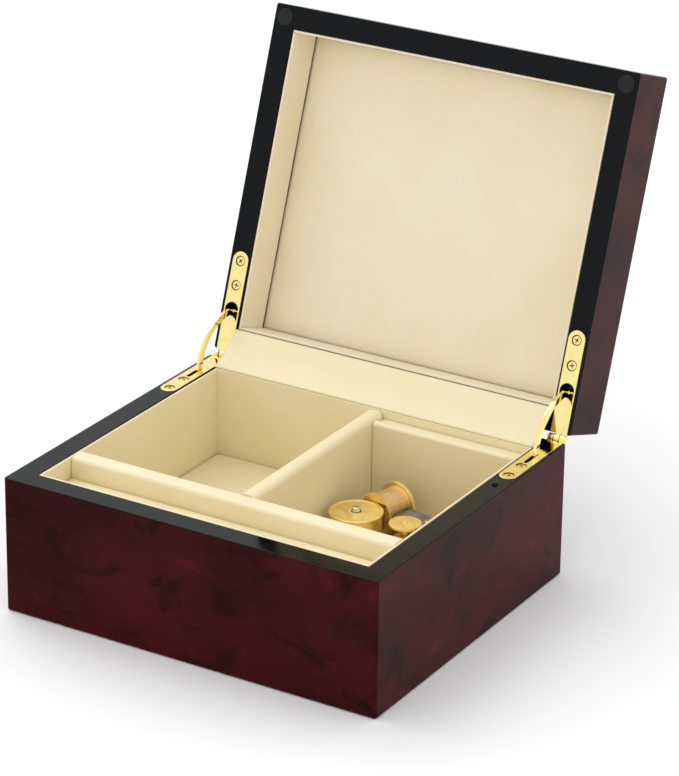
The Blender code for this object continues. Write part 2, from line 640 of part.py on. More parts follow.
def build_comb(skin, frame, bedplate):
    comb = finish("tuned_comb", extruded_mesh(comb_outline(), "Z", *COMB_Z),
                  skin["steel"], frame)
    top = COMB_Z[1] + GAP
    for number, y in enumerate((22.6 * MM, 27.0 * MM), 1):
        profile = [(0, 30 * MM), (1.0 * MM, 30 * MM), (1.0 * MM, top), (2.0 * MM, top),
                   (2.0 * MM, top + 0.7 * MM), (1.5 * MM, top + 1.1 * MM),
                   (0, top + 1.1 * MM)]
        screw = shift(turned_mesh(profile, "Z", 12), 26 * MM, y, 0)
        finish(f"comb_screw_{number}", screw, skin["steel"], frame)
        room = shift(turned_mesh(rod_profile(1.3 * MM, 29.5 * MM, 40 * MM), "Z", 16),
                     26 * MM, y, 0)
        combine([comb, bedplate],
                finish(f"comb_screw_cutter_{number}", room, skin["steel"], frame))


def build_bedplate(skin, frame, board):
    """Cast plate with the comb's pedestal, holes for the arbors and two fixing screws."""
    brass = skin["brass"]
    bedplate = finish("movement_bedplate",
                      block_mesh((-11.5 * MM, -13.2 * MM, 21.4 * MM),
                                 (41.2 * MM, 35 * MM, 23.0 * MM)), brass, frame)
    pedestal = block_mesh((21 * MM, 20.8 * MM, 22 * MM), (31 * MM, 29.2 * MM, 33.5 * MM))
    combine([bedplate], finish("pedestal_tool", pedestal, brass, frame), "UNION")
    hole = turned_mesh(rod_profile(2.4 * MM, 20 * MM, 24 * MM), "Z", 20)
    combine([bedplate], finish("arbor_hole_cutter", hole, brass, frame))
    for number, (x, y) in enumerate(((-8 * MM, 30.5 * MM), (37 * MM, -10 * MM)), 1):
        profile = [(0, 18 * MM), (1.1 * MM, 18 * MM), (1.1 * MM, 23.3 * MM),
                   (2.2 * MM, 23.3 * MM), (2.2 * MM, 24.0 * MM), (1.7 * MM, 24.4 * MM),
                   (0, 24.4 * MM)]
        finish(f"mount_screw_{number}", shift(turned_mesh(profile, "Z", 12), x, y, 0),
               skin["steel"], frame)
        room = shift(turned_mesh(rod_profile(1.4 * MM, 17.7 * MM, 25 * MM), "Z", 16),
                     x, y, 0)
        combine([bedplate, board],
                finish(f"mount_screw_cutter_{number}", room, brass, frame))
    return bedplate


def build_governor(skin, frame):
    """Large wheel off the barrel, its top disc, and the worm with the air brake."""
    brass = skin["brass"]
    axis = make_empty("governor_axis", frame, (GOVERNOR_X, GOVERNOR_Y, 0))
    shaft = 1.5 * MM
    profile = [(0, 23.3 * MM), (0.9 * MM, 23.3 * MM), (0.9 * MM, 24.0 * MM),
               (GOVERNOR_WHEEL_RADIUS, 24.0 * MM), (GOVERNOR_WHEEL_RADIUS, 25.2 * MM),
               (shaft, 25.2 * MM), (shaft, 36.6 * MM), (GOVERNOR_DISC_RADIUS, 36.6 * MM),
               (GOVERNOR_DISC_RADIUS, 38.0 * MM), (1.0 * MM, 38.0 * MM),
               (1.0 * MM, 38.5 * MM), (0, 38.5 * MM)]
    finish("governor_wheel", turned_mesh(profile, "Z", 30), brass, axis)
    outline = [(18 * MM, 30.5 * MM), (37 * MM, 30.5 * MM), (37 * MM, 23.3 * MM),
               (39.2 * MM, 23.3 * MM), (39.2 * MM, 31.9 * MM), (18 * MM, 31.9 * MM)]
    bracket = finish("governor_bracket", extruded_mesh(outline, "Y", 7 * MM, 13.2 * MM),
                     brass, frame)
    for label, x, radius in (("wheel", GOVERNOR_X, 1.8 * MM), ("fan", FAN_X, 1.0 * MM)):
        room = shift(turned_mesh(rod_profile(radius, 30 * MM, 33 * MM), "Z", 16),
                     x, GOVERNOR_Y, 0)
        combine([bracket], finish(f"{label}_bearing_cutter", room, brass, frame))
    fan_axis = make_empty("fan_axis", frame, (FAN_X, GOVERNOR_Y, 0))
    profile = [(0, 25.6 * MM), (0.7 * MM, 25.6 * MM), (0.7 * MM, 36.6 * MM),
               (1.6 * MM, 36.6 * MM), (1.6 * MM, 38.0 * MM), (0.7 * MM, 38.0 * MM),
               (0.7 * MM, 38.6 * MM), (0, 38.6 * MM)]
    fan = finish("governor_fan", turned_mesh(profile, "Z", 16), skin["steel"], fan_axis)
    blade = block_mesh((-4.3 * MM, -0.35 * MM, 27.5 * MM), (4.3 * MM, 0.35 * MM, 29.9 * MM))
    combine([fan], finish("fan_blade_tool", blade, skin["steel"], fan_axis), "UNION")


def build_stop(skin, base, walls, liner):
    """The pin in the rim that the lid presses, and the lever that reaches the fan."""
    steel = skin["steel"]
    slide = make_empty("stop_axis", base, (STOP_X, STOP_Y, 0))
    profile = [(0, 25.95 * MM), (1.05 * MM, 25.95 * MM), (1.05 * MM, 70.1 * MM),
               (0.8 * MM, 70.4 * MM), (0, 70.4 * MM)]
    finish("stop_pin", turned_mesh(profile, "Z", 16), steel, slide)
    bore = shift(turned_mesh(rod_profile(1.4 * MM, 25 * MM, 71 * MM), "Z", 20),
                 STOP_X, STOP_Y, 0)
    combine([walls["base"]["right"]], finish("stop_bore_cutter", bore, steel, base))
    room = block_mesh((WIDTH - 15 * MM, STOP_Y - 1.6 * MM, 22.5 * MM),
                      (WIDTH - 4 * MM, STOP_Y + 1.6 * MM, 29 * MM))
    combine([walls["base"]["right"], liner],
            finish("stop_slot_cutter", room, steel, base))
    pivot = make_empty("lever_axis", base, (LEVER_PIVOT_X, STOP_Y, LEVER_PIVOT_Z))
    lever = finish("stop_lever", block_mesh((-22.6 * MM, -0.9 * MM, -0.6 * MM),
                                            (15.2 * MM, 0.9 * MM, 0.6 * MM)), steel, pivot)
    pin = turned_mesh(rod_profile(0.9 * MM, -2.6 * MM, 2.6 * MM), "Y", 16)
    combine([lever], finish("lever_pin_tool", pin, steel, pivot), "UNION")
    ears = [(-3 * MM, 21.4 * MM), (3 * MM, 21.4 * MM), (3 * MM, 26.8 * MM),
            (1.4 * MM, 26.8 * MM), (1.4 * MM, 22.6 * MM), (-1.4 * MM, 22.6 * MM),
            (-1.4 * MM, 26.8 * MM), (-3 * MM, 26.8 * MM)]
    ears = [(STOP_Y + y, z) for y, z in ears]
    bracket = finish("lever_bracket",
                     extruded_mesh(ears, "X", LEVER_PIVOT_X - 2.2 * MM,
                                   LEVER_PIVOT_X + 2.2 * MM), skin["brass"], base)
    bearing = shift(turned_mesh(rod_profile(1.2 * MM, -4 * MM, 4 * MM), "Y", 16),
                    LEVER_PIVOT_X, STOP_Y, LEVER_PIVOT_Z)
    combine([bracket], finish("lever_bearing_cutter", bearing, steel, base))


# Whole object

def cut_flap_rebates(walls, skin, base, lid, axis_point):
    """Shallow steps along the back rims where the folded gusset lies."""
    side = LEAF_X + LEAF_WIDTH / 2 + 1.0 * MM
    back = DEPTH - 1.5 * MM
    low = block_mesh((side, 150 * MM, BASE_RIM - FLAP_REBATE),
                     (WIDTH - side, back, BASE_RIM + 2 * MM))
    combine([walls["base"]["back"]], finish("base_rebate_cutter", low, skin["veneer"], base))
    high = block_mesh((side, 150 * MM, LID_RIM - 2 * MM),
                      (WIDTH - side, back, LID_RIM + FLAP_REBATE))
    combine([walls["lid"]["back"]],
            finish("lid_rebate_cutter", high, skin["veneer"], lid, axis_point, (0, 0, 0)))


def build_music_box():
    clear_scene()
    skin = {name: make_material(name) for name in PALETTE}
    base = make_empty("case_corner", None, (-WIDTH / 2, -DEPTH / 2, 0))
    axis_point = (0, HINGE_Y, HINGE_Z)
    lid = make_empty("lid_axis", base, axis_point, (-LID_OPEN, 0, 0))
    walls = {"base": build_case(skin, base)}
    liner, board = build_lining(skin, base)
    build_flap(skin, base)
    walls["lid"] = build_lid(skin, lid, axis_point)
    cut_flap_rebates(walls, skin, base, lid, axis_point)
    for side, centre in (("left", LEAF_X), ("right", WIDTH - LEAF_X)):
        build_hinge(side, centre, skin, base, lid, axis_point, walls)
        build_stay(side, centre, skin, lid, axis_point)
    frame = make_empty("movement_frame", base, (BARREL_X, BARREL_Y, 0),
                       (0, 0, MOVEMENT_TURN))
    bedplate = build_bedplate(skin, frame, board)
    build_barrel(skin, frame)
    build_cylinder(skin, frame)
    build_comb(skin, frame, bedplate)
    build_governor(skin, frame)
    build_stop(skin, base, walls, liner)


build_music_box()
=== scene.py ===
import json
import math
import random

import bmesh
import bpy
from mathutils import Matrix, Vector, noise


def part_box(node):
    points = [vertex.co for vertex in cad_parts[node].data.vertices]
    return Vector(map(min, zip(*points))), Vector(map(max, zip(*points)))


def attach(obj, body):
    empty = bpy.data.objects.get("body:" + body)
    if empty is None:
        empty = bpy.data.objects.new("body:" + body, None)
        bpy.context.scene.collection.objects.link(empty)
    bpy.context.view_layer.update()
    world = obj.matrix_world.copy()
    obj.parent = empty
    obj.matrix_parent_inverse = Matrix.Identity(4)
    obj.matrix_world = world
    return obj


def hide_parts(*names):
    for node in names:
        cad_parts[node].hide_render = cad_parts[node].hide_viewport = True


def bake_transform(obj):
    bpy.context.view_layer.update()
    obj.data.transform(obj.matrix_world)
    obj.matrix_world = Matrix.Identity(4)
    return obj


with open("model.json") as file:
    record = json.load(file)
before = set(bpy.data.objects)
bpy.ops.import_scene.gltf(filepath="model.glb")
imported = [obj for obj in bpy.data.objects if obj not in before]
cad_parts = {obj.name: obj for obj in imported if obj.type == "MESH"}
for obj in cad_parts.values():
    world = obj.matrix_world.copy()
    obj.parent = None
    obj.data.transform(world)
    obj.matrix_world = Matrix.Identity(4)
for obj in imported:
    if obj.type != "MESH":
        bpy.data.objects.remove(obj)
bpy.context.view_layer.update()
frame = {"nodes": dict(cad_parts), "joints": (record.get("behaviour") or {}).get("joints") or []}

mm = 0.001
joints = {joint["name"]: joint for joint in frame["joints"]}
print("frame loaded:", len(frame["nodes"]), "nodes")

# The lid and the movement are modelled square and then put in place:
# lidPlace swings the shut lid open, movementPlace turns the movement in its bay.
hinge = Vector(joints["lid_hinge"]["pos_m"])
lidSwing = math.radians(joints["lid_hinge"]["range_deg"][1])
lidPlace = (Matrix.Translation(hinge) @ Matrix.Rotation(-lidSwing, 4, "X")
            @ Matrix.Translation(-hinge))
barrelAt = Vector(joints["barrel_turn"]["pos_m"])
drumAxis = Vector(joints["cylinder_turn"]["axis"])
movementTurn = -math.atan2(drumAxis.x, drumAxis.y)
movementPlace = (Matrix.Translation((barrelAt.x, barrelAt.y, 0))
                 @ Matrix.Rotation(movementTurn, 4, "Z"))
casePlace = Matrix.Identity(4)


def boxIn(place, node):
    # a node's lowest and highest corners, measured square to its own assembly
    back = place.inverted()
    points = [back @ vertex.co for vertex in frame["nodes"][node].data.vertices]
    low = Vector([min(point[axis] for point in points) for axis in range(3)])
    high = Vector([max(point[axis] for point in points) for axis in range(3)])
    return low, high


def blockShape(low, high):
    shape = bmesh.new()
    low, high = Vector(low), Vector(high)
    bmesh.ops.create_cube(shape, size=1)
    bmesh.ops.scale(shape, vec=high - low, verts=shape.verts)
    bmesh.ops.translate(shape, vec=(low + high) / 2, verts=shape.verts)
    return shape


def cutShape(outline, thick, axis="Z"):
    # a flat outline raised by its thickness, then stood up along an axis
    shape = bmesh.new()
    face = shape.faces.new([shape.verts.new((x, y, 0)) for x, y in outline])
    raised = bmesh.ops.extrude_face_region(shape, geom=[face])["geom"]
    tops = [item for item in raised if isinstance(item, bmesh.types.BMVert)]
    bmesh.ops.translate(shape, vec=(0, 0, thick), verts=tops)
    turnTo(shape, axis)
    return shape


def turnTo(shape, axis):
    # Z stays, Y lays the shape's height along +Y, X turns (x, y) into (y, z)
    turns = {"Z": Matrix.Identity(4),
             "Y": Matrix.Rotation(-math.pi / 2, 4, "X"),
             "X": Matrix(((0, 0, 1, 0), (1, 0, 0, 0), (0, 1, 0, 0), (0, 0, 0, 1)))}
    bmesh.ops.transform(shape, matrix=turns[axis], verts=shape.verts)


def latheShape(profile, segments=48, axis="Z", closed=False):
    # profile runs as (radius, height) points
    shape = bmesh.new()
    points = [shape.verts.new((radius, 0, height)) for radius, height in profile]
    edges = [shape.edges.new(pair) for pair in zip(points, points[1:])]
    if closed:
        edges.append(shape.edges.new((points[-1], points[0])))
    bmesh.ops.spin(shape, geom=points + edges, cent=(0, 0, 0), axis=(0, 0, 1),
                   angle=2 * math.pi, steps=segments, use_merge=True)
    bmesh.ops.remove_doubles(shape, verts=shape.verts, dist=1e-6)
    turnTo(shape, axis)
    return shape


def moved(shape, x=0, y=0, z=0):
    bmesh.ops.translate(shape, vec=(x, y, z), verts=shape.verts)
    return shape


def added(shape, *others):
    # joins other shapes into the first as loose parts
    for other in others:
        mesh = bpy.data.meshes.new("loose")
        other.to_mesh(mesh)
        other.free()
        shape.from_mesh(mesh)
        bpy.data.meshes.remove(mesh)
    return shape


def rounded(shape, width, segments=3, pick=None):
    # rounds every sharp edge, or only the edges that pick chooses
    edges = [edge for edge in shape.edges
             if (pick(edge) if pick else edge.calc_face_angle(0) > math.radians(40))]
    bmesh.ops.bevel(shape, geom=edges, offset=width, offset_type="OFFSET",
                    affect="EDGES", segments=segments, profile=0.5, material=-1,
                    clamp_overlap=True)
    return shape


def arcPoints(centre, radius, start, end, steps):
    points = []
    for step in range(steps + 1):
        angle = math.radians(start + (end - start) * step / steps)
        points.append((centre[0] + radius * math.cos(angle),
                       centre[1] + radius * math.sin(angle)))
    return points


def gearOutline(outer, depth, teeth):
    # plain trapezoid teeth around a wheel
    points = []
    for tooth in range(teeth):
        for share, radius in ((0.0, outer - depth), (0.22, outer), (0.5, outer),
                              (0.72, outer - depth)):
            angle = 2 * math.pi * (tooth + share) / teeth
            points.append((radius * math.cos(angle), radius * math.sin(angle)))
    return points


def midPoint(edge):
    return (edge.verts[0].co + edge.verts[1].co) / 2


def makePiece(name, shape, finishes, body, stands=(), place=casePlace,
              sharp=35, even=False):
    bmesh.ops.transform(shape, matrix=place, verts=shape.verts)
    bmesh.ops.remove_doubles(shape, verts=shape.verts, dist=1e-6)
    bmesh.ops.recalc_face_normals(shape, faces=shape.faces)
    mesh = bpy.data.meshes.new(name)
    shape.to_mesh(mesh)
    shape.free()
    mesh.shade_smooth()
    mesh.set_sharp_from_angle(angle=math.radians(sharp))
    for finish in finishes:
        mesh.materials.append(finish)
    piece = bpy.data.objects.new(name, mesh)
    bpy.context.scene.collection.objects.link(piece)
    if even:
        normals = piece.modifiers.new("evenFaces", "WEIGHTED_NORMAL")
        normals.keep_sharp = True
        normals.weight = 100
    if body:
        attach(piece, body)
    if stands:
        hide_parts(*stands)
    return piece


def combined(shape, tools, operation="DIFFERENCE", toolFinish=0):
    # cuts the tool shapes out of a shape, or joins them to it
    def blank(part, finish=None):
        bmesh.ops.recalc_face_normals(part, faces=part.faces)
        if finish is not None:
            for face in part.faces:
                face.material_index = finish
        mesh = bpy.data.meshes.new("blank")
        part.to_mesh(mesh)
        part.free()
        for name in ("blankOutside", "blankInside"):
            mesh.materials.append(bpy.data.materials.get(name) or bpy.data.materials.new(name))
        thing = bpy.data.objects.new("blank", mesh)
        bpy.context.scene.collection.objects.link(thing)
        return thing

    body = blank(shape)
    knives = [blank(tool, toolFinish) for tool in tools]
    for knife in knives:
        step = body.modifiers.new("step", "BOOLEAN")
        step.operation = operation
        step.object = knife
        step.solver = "EXACT"
    bpy.context.view_layer.update()
    ready = body.evaluated_get(bpy.context.evaluated_depsgraph_get())
    result = bmesh.new()
    result.from_mesh(ready.to_mesh())
    ready.to_mesh_clear()
    for thing in [body] + knives:
        mesh = thing.data
        bpy.data.objects.remove(thing)
        bpy.data.meshes.remove(mesh)
    bmesh.ops.dissolve_degenerate(result, edges=result.edges, dist=1e-7)
    return result


def newFinish(name, roughness, metallic=0.0, colour=(0.5, 0.5, 0.5)):
    finish = bpy.data.materials.new(name)
    finish.use_nodes = True
    tree = finish.node_tree
    shader = tree.nodes["Principled BSDF"]
    shader.inputs["Roughness"].default_value = roughness
    shader.inputs["Metallic"].default_value = metallic
    shader.inputs["Base Color"].default_value = (*colour, 1)
    return finish, tree, shader


def texture(tree, kind, where, turn=(0, 0, 0), stretch=(1, 1, 1), **values):
    # a texture on Object coordinates; values go to its sockets
    coordinates = tree.nodes.new("ShaderNodeTexCoord")
    mapping = tree.nodes.new("ShaderNodeMapping")
    mapping.inputs["Location"].default_value = where
    mapping.inputs["Rotation"].default_value = turn
    mapping.inputs["Scale"].default_value = stretch
    tree.links.new(coordinates.outputs["Object"], mapping.inputs["Vector"])
    node = tree.nodes.new(kind)
    tree.links.new(mapping.outputs["Vector"], node.inputs["Vector"])
    for key, value in values.items():
        node.inputs[key].default_value = value
    return node


def ramp(tree, source, stops):
    node = tree.nodes.new("ShaderNodeValToRGB")
    elements = node.color_ramp.elements
    while len(elements) < len(stops):
        elements.new(0.5)
    for element, (place, colour) in zip(elements, stops):
        element.position = place
        element.color = (*colour, 1)
    tree.links.new(source, node.inputs["Fac"])
    return node.outputs["Color"]


def blended(tree, mode, share, first, second):
    # share is a number or another node's output
    node = tree.nodes.new("ShaderNodeMix")
    node.data_type = "RGBA"
    node.blend_type = mode
    for value, socket in ((share, node.inputs[0]), (first, node.inputs[6]),
                          (second, node.inputs[7])):
        if isinstance(value, bpy.types.NodeSocket):
            tree.links.new(value, socket)
        elif isinstance(value, tuple):
            socket.default_value = (*value, 1)
        else:
            socket.default_value = value
    return node.outputs[2]


def ranged(tree, source, low, high, toLow, toHigh):
    node = tree.nodes.new("ShaderNodeMapRange")
    for key, value in (("From Min", low), ("From Max", high), ("To Min", toLow),
                       ("To Max", toHigh)):
        node.inputs[key].default_value = value
    tree.links.new(source, node.inputs["Value"])
    return node.outputs["Result"]


def bumped(tree, height, depth, strength=1.0, under=None):
    node = tree.nodes.new("ShaderNodeBump")
    node.inputs["Distance"].default_value = depth
    node.inputs["Strength"].default_value = strength
    tree.links.new(height, node.inputs["Height"])
    if under:
        tree.links.new(under, node.inputs["Normal"])
    return node.outputs["Normal"]


burl = {"deep": (0.011, 0.0022, 0.0030), "wood": (0.046, 0.0058, 0.0080),
        "red": (0.090, 0.0085, 0.0100), "cloud": 30, "gloss": 0.14,
        "shine": 0.06, "shineTint": (1.0, 0.6, 0.6)}


def burlLacquer():
    finish, tree, shader = newFinish("burlLacquer", burl["gloss"])
    cloud = texture(tree, "ShaderNodeTexNoise", (0.31, 0.12, 0.07), stretch=(1, 1, 1.5),
                    Scale=burl["cloud"], Detail=5, Roughness=0.55, Distortion=0.9)
    base = ramp(tree, cloud.outputs["Fac"],
                [(0.30, burl["deep"]), (0.47, burl["wood"]), (0.60, burl["wood"]),
                 (0.74, burl["red"])])
    patch = texture(tree, "ShaderNodeTexNoise", (0.9, 0.4, 0.6), Scale=14, Detail=3,
                    Distortion=0.5)
    warm = ramp(tree, patch.outputs["Fac"], [(0.35, (0.55, 0.55, 0.6)), (0.7, (1.5, 1.2, 1.1))])
    base = blended(tree, "MULTIPLY", 0.9, base, warm)
    fleck = texture(tree, "ShaderNodeTexNoise", (0.1, 0.8, 0.2), stretch=(1, 1, 0.8),
                    Scale=420, Detail=6, Distortion=1.6)
    grain = ramp(tree, fleck.outputs["Fac"], [(0.36, (0.55, 0.5, 0.5)), (0.62, (1.15, 1.1, 1.1))])
    base = blended(tree, "MULTIPLY", 0.35, base, grain)
    tree.links.new(base, shader.inputs["Base Color"])
    polish = ranged(tree, patch.outputs["Fac"], 0.3, 0.7, burl["gloss"], burl["gloss"] + 0.08)
    tree.links.new(polish, shader.inputs["Roughness"])
    skin = texture(tree, "ShaderNodeTexNoise", (0, 0, 0), Scale=120, Detail=2)
    tree.links.new(bumped(tree, skin.outputs["Fac"], 0.00004, 0.5), shader.inputs["Normal"])
    shader.inputs["Specular IOR Level"].default_value = burl["shine"]
    shader.inputs["Specular Tint"].default_value = (*burl["shineTint"], 1)
    return finish


black = {"shine": 0.15, "shineTint": (0.84, 0.92, 1.0), "rubberShine": 0.3}


def blackLacquer():
    finish, tree, shader = newFinish("blackLacquer", 0.08)
    haze = texture(tree, "ShaderNodeTexNoise", (0.2, 0.5, 0.1), Scale=60, Detail=4)
    tone = ramp(tree, haze.outputs["Fac"], [(0.35, (0.0016, 0.0016, 0.0018)),
                                            (0.7, (0.0042, 0.0040, 0.0042))])
    tree.links.new(tone, shader.inputs["Base Color"])
    polish = ranged(tree, haze.outputs["Fac"], 0.3, 0.7, 0.05, 0.11)
    tree.links.new(polish, shader.inputs["Roughness"])
    skin = texture(tree, "ShaderNodeTexNoise", (0, 0, 0), Scale=160, Detail=2)
    tree.links.new(bumped(tree, skin.outputs["Fac"], 0.00003, 0.5), shader.inputs["Normal"])
    shader.inputs["Specular IOR Level"].default_value = black["shine"]
    shader.inputs["Specular Tint"].default_value = (*black["shineTint"], 1)
    return finish


# the lid tint lightens and cools the cream leather for the lid lining: painted light for the
# lid's brighter lighting, on the same leather as the case
cream = {"light": (0.885, 0.790, 0.525), "shade": (0.860, 0.755, 0.475), "grain": 2600,
         "roughness": 0.46, "shine": 0.75, "sheen": 0.12,
         "lidLightingTint": (1.0, 1.01, 1.14)}


def creamLeather(name="creamLeather", tint=(1, 1, 1), ripple=0.0005):
    finish, tree, shader = newFinish(name, cream["roughness"])
    tone = texture(tree, "ShaderNodeTexNoise", (0.4, 0.2, 0.9), Scale=28, Detail=4)
    shade, light = (tuple(level * share for level, share in zip(cream[key], tint))
                    for key in ("shade", "light"))
    colour = ramp(tree, tone.outputs["Fac"], [(0.3, shade), (0.62, light)])
    pores = texture(tree, "ShaderNodeTexVoronoi", (0, 0, 0), Scale=cream["grain"])
    dark = ramp(tree, pores.outputs["Distance"], [(0.0, (1, 1, 1)), (0.75, (0.93, 0.91, 0.88))])
    colour = blended(tree, "MULTIPLY", 0.6, colour, dark)
    tree.links.new(colour, shader.inputs["Base Color"])
    wave = texture(tree, "ShaderNodeTexNoise", (0.7, 0.1, 0.3), Scale=42, Detail=2)
    soft = bumped(tree, wave.outputs["Fac"], ripple, 0.6)
    tree.links.new(bumped(tree, pores.outputs["Distance"], 0.00006, 0.5, soft),
                   shader.inputs["Normal"])
    rub = ranged(tree, tone.outputs["Fac"], 0.3, 0.7, cream["roughness"] - 0.06,
                 cream["roughness"] + 0.1)
    tree.links.new(rub, shader.inputs["Roughness"])
    shader.inputs["Specular IOR Level"].default_value = cream["shine"]
    shader.inputs["Sheen Weight"].default_value = cream["sheen"]
    return finish


def polishedMetal(name, bright, dull, roughness, brushed=0.0):
    finish, tree, shader = newFinish(name, roughness, metallic=1.0)
    tarnish = texture(tree, "ShaderNodeTexNoise", (0.2, 0.6, 0.4), Scale=240, Detail=4)
    tree.links.new(ramp(tree, tarnish.outputs["Fac"], [(0.32, dull), (0.6, bright)]),
                   shader.inputs["Base Color"])
    wear = ranged(tree, tarnish.outputs["Fac"], 0.3, 0.7, roughness, roughness * 1.5)
    tree.links.new(wear, shader.inputs["Roughness"])
    marks = texture(tree, "ShaderNodeTexNoise", (0, 0, 0), stretch=(1, 6, 1), Scale=900,
                    Detail=3)
    tree.links.new(bumped(tree, marks.outputs["Fac"], 0.00001 + 0.00004 * brushed, 0.5),
                   shader.inputs["Normal"])
    return finish


def fibreBoard():
    finish, tree, shader = newFinish("fibreBoard", 0.75)
    chips = texture(tree, "ShaderNodeTexNoise", (0, 0, 0), stretch=(1, 3, 1), Scale=900,
                    Detail=5)
    tree.links.new(ramp(tree, chips.outputs["Fac"], [(0.3, (0.12, 0.075, 0.04)),
                                                     (0.7, (0.27, 0.18, 0.10))]),
                   shader.inputs["Base Color"])
    tree.links.new(bumped(tree, chips.outputs["Fac"], 0.0001, 0.6), shader.inputs["Normal"])
    return finish


def feltCloth():
    finish, tree, shader = newFinish("feltCloth", 0.95)
    fuzz = texture(tree, "ShaderNodeTexNoise", (0, 0, 0), Scale=2400, Detail=6, Distortion=2)
    tree.links.new(ramp(tree, fuzz.outputs["Fac"], [(0.3, (0.004, 0.004, 0.004)),
                                                    (0.7, (0.022, 0.021, 0.021))]),
                   shader.inputs["Base Color"])
    tree.links.new(bumped(tree, fuzz.outputs["Fac"], 0.0002, 0.8), shader.inputs["Normal"])
    shader.inputs["Sheen Weight"].default_value = 0.3
    return finish


def blackRubber():
    finish, tree, shader = newFinish("blackRubber", 0.5)
    dust = texture(tree, "ShaderNodeTexNoise", (0, 0, 0), Scale=1500, Detail=3)
    tree.links.new(ramp(tree, dust.outputs["Fac"], [(0.3, (0.002, 0.002, 0.002)),
                                                    (0.7, (0.008, 0.008, 0.008))]),
                   shader.inputs["Base Color"])
    tree.links.new(bumped(tree, dust.outputs["Fac"], 0.00004, 0.6), shader.inputs["Normal"])
    shader.inputs["Specular IOR Level"].default_value = black["rubberShine"]
    return finish


veneer = burlLacquer()
rim = blackLacquer()
leather = creamLeather()
padLeather = creamLeather("creamPad", ripple=0.0011)
# the lid lining's leather is a lighter, bluer copy of the case leather: painted light, not a
# different leather
lidLitLeather = creamLeather("creamLidLit", cream["lidLightingTint"], 0.0009)
gold = polishedMetal("polishedGold", (1.0, 0.85, 0.37), (0.96, 0.79, 0.31), 0.07)
brass = polishedMetal("satinBrass", (1.0, 0.80, 0.34), (0.95, 0.72, 0.27), 0.32, 1.0)
brownBrass = polishedMetal("brownBrass", (0.72, 0.50, 0.25), (0.55, 0.37, 0.17), 0.32, 1.0)
steel = polishedMetal("groundSteel", (0.34, 0.34, 0.35), (0.22, 0.22, 0.23), 0.30, 1.0)
nickel = polishedMetal("brightNickel", (0.80, 0.79, 0.76), (0.62, 0.61, 0.58), 0.14)
darkGold = polishedMetal("shadedGold", (0.34, 0.20, 0.05), (0.18, 0.10, 0.03), 0.35)
drumSkin = polishedMetal("drumSkin", (0.88, 0.66, 0.38), (0.78, 0.56, 0.30), 0.36, 1.0)
darkSteel = polishedMetal("darkSteel", (0.05, 0.05, 0.055), (0.03, 0.03, 0.03), 0.35)
board = fibreBoard()
felt = feltCloth()
rubber = blackRubber()
print("finishes made")


# The case and the lid: burl veneer outside, black lacquer on the rims

case = {"cornerRound": 1.3 * mm, "edgeRound": 0.45 * mm, "room": 0.12 * mm,
        "channelHalf": 2.1 * mm, "pocketRoom": 1.2 * mm,
        "stepRoom": 1.3 * mm, "stepDeep": 0.8 * mm}
lidPanel = boxIn(lidPlace, "lid_top_panel")
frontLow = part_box("base_front_wall")[0]
caseLow = Vector((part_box("base_left_wall")[0].x, frontLow.y, frontLow.z))
caseHigh = Vector((-caseLow.x, -caseLow.y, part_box("base_left_wall")[1].z))
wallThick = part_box("base_front_wall")[1].y - caseLow.y
lidLow = Vector((caseLow.x, caseLow.y, boxIn(lidPlace, "lid_front_wall")[0].z))
lidHigh = lidPanel[1]


def isLevel(edge, height):
    return all(abs(vertex.co.z - height) < 1e-6 for vertex in edge.verts)


def isSharp(edge, degrees=50):
    return len(edge.link_faces) == 2 and edge.calc_face_angle(0) > math.radians(degrees)


def hollowBlock(low, high, ceiling=None):
    # a block with rounded corners and a square well, right through or up to a ceiling
    shape = blockShape(low, high)
    tall = 0.5 * (high.z - low.z)
    rounded(shape, case["cornerRound"], 5,
            lambda edge: abs(edge.verts[0].co.z - edge.verts[1].co.z) > tall)
    wellTop = high.z + 2 * mm if ceiling is None else ceiling
    well = blockShape((low.x + wallThick, low.y + wallThick, low.z - 2 * mm),
                      (high.x - wallThick, high.y - wallThick, wellTop))
    shape = combined(shape, [well])
    rounded(shape, case["edgeRound"], 3, lambda edge: isSharp(edge)
            and (isLevel(edge, low.z) or isLevel(edge, high.z)))
    return shape


def paintRim(shape, height, facing):
    # the rim's flat and the roundings beside it take the second finish
    for face in shape.faces:
        near = abs(face.calc_center_median().z - height) < case["edgeRound"] * 0.7
        face.material_index = 1 if near and face.normal.z * facing > 0.3 else 0


hingeLeaf = {"thick": 1.0 * mm, "edge": 0.2 * mm, "knuckle": 2.2 * mm, "pin": 1.0 * mm,
             "gap": 0.3 * mm, "slotHalf": 0.98 * mm, "windowHalf": 3.8 * mm}
leafSpan = {side: [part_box(f"base_leaf_{side}")[end].x for end in (0, 1)]
            for side in ("left", "right")}
leafMiddle = {side: sum(span) / 2 for side, span in leafSpan.items()}
leafHalf = 4.5 * mm
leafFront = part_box("base_leaf_left")[0].y
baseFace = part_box("base_screw_left_1")[1].z
lidFace = boxIn(lidPlace, "lid_screw_left_1")[0].z
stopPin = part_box("stop_pin")
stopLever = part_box("stop_lever")
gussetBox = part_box("hinge_flap")
stayPivot = lidPlace.inverted() @ Vector(joints["stay_left_pivot"]["pos_m"])


def leafPlan(centre, tail, grow=0.0):
    half = leafHalf + grow
    nose = arcPoints((centre, leafFront + leafHalf), half, 180, 360, 24)
    return nose + [(centre + half, tail), (centre - half, tail)]


def leafSeat(side, low, high):
    seat = cutShape(leafPlan(leafMiddle[side], caseHigh.y + 4 * mm, case["room"]), high - low)
    return moved(seat, z=low)


def gussetStep(low, high):
    room = case["stepRoom"]
    return blockShape((gussetBox[0].x - room, caseHigh.y - wallThick - 5 * mm, low),
                      (gussetBox[1].x + room, caseHigh.y - 1.6 * mm, high))


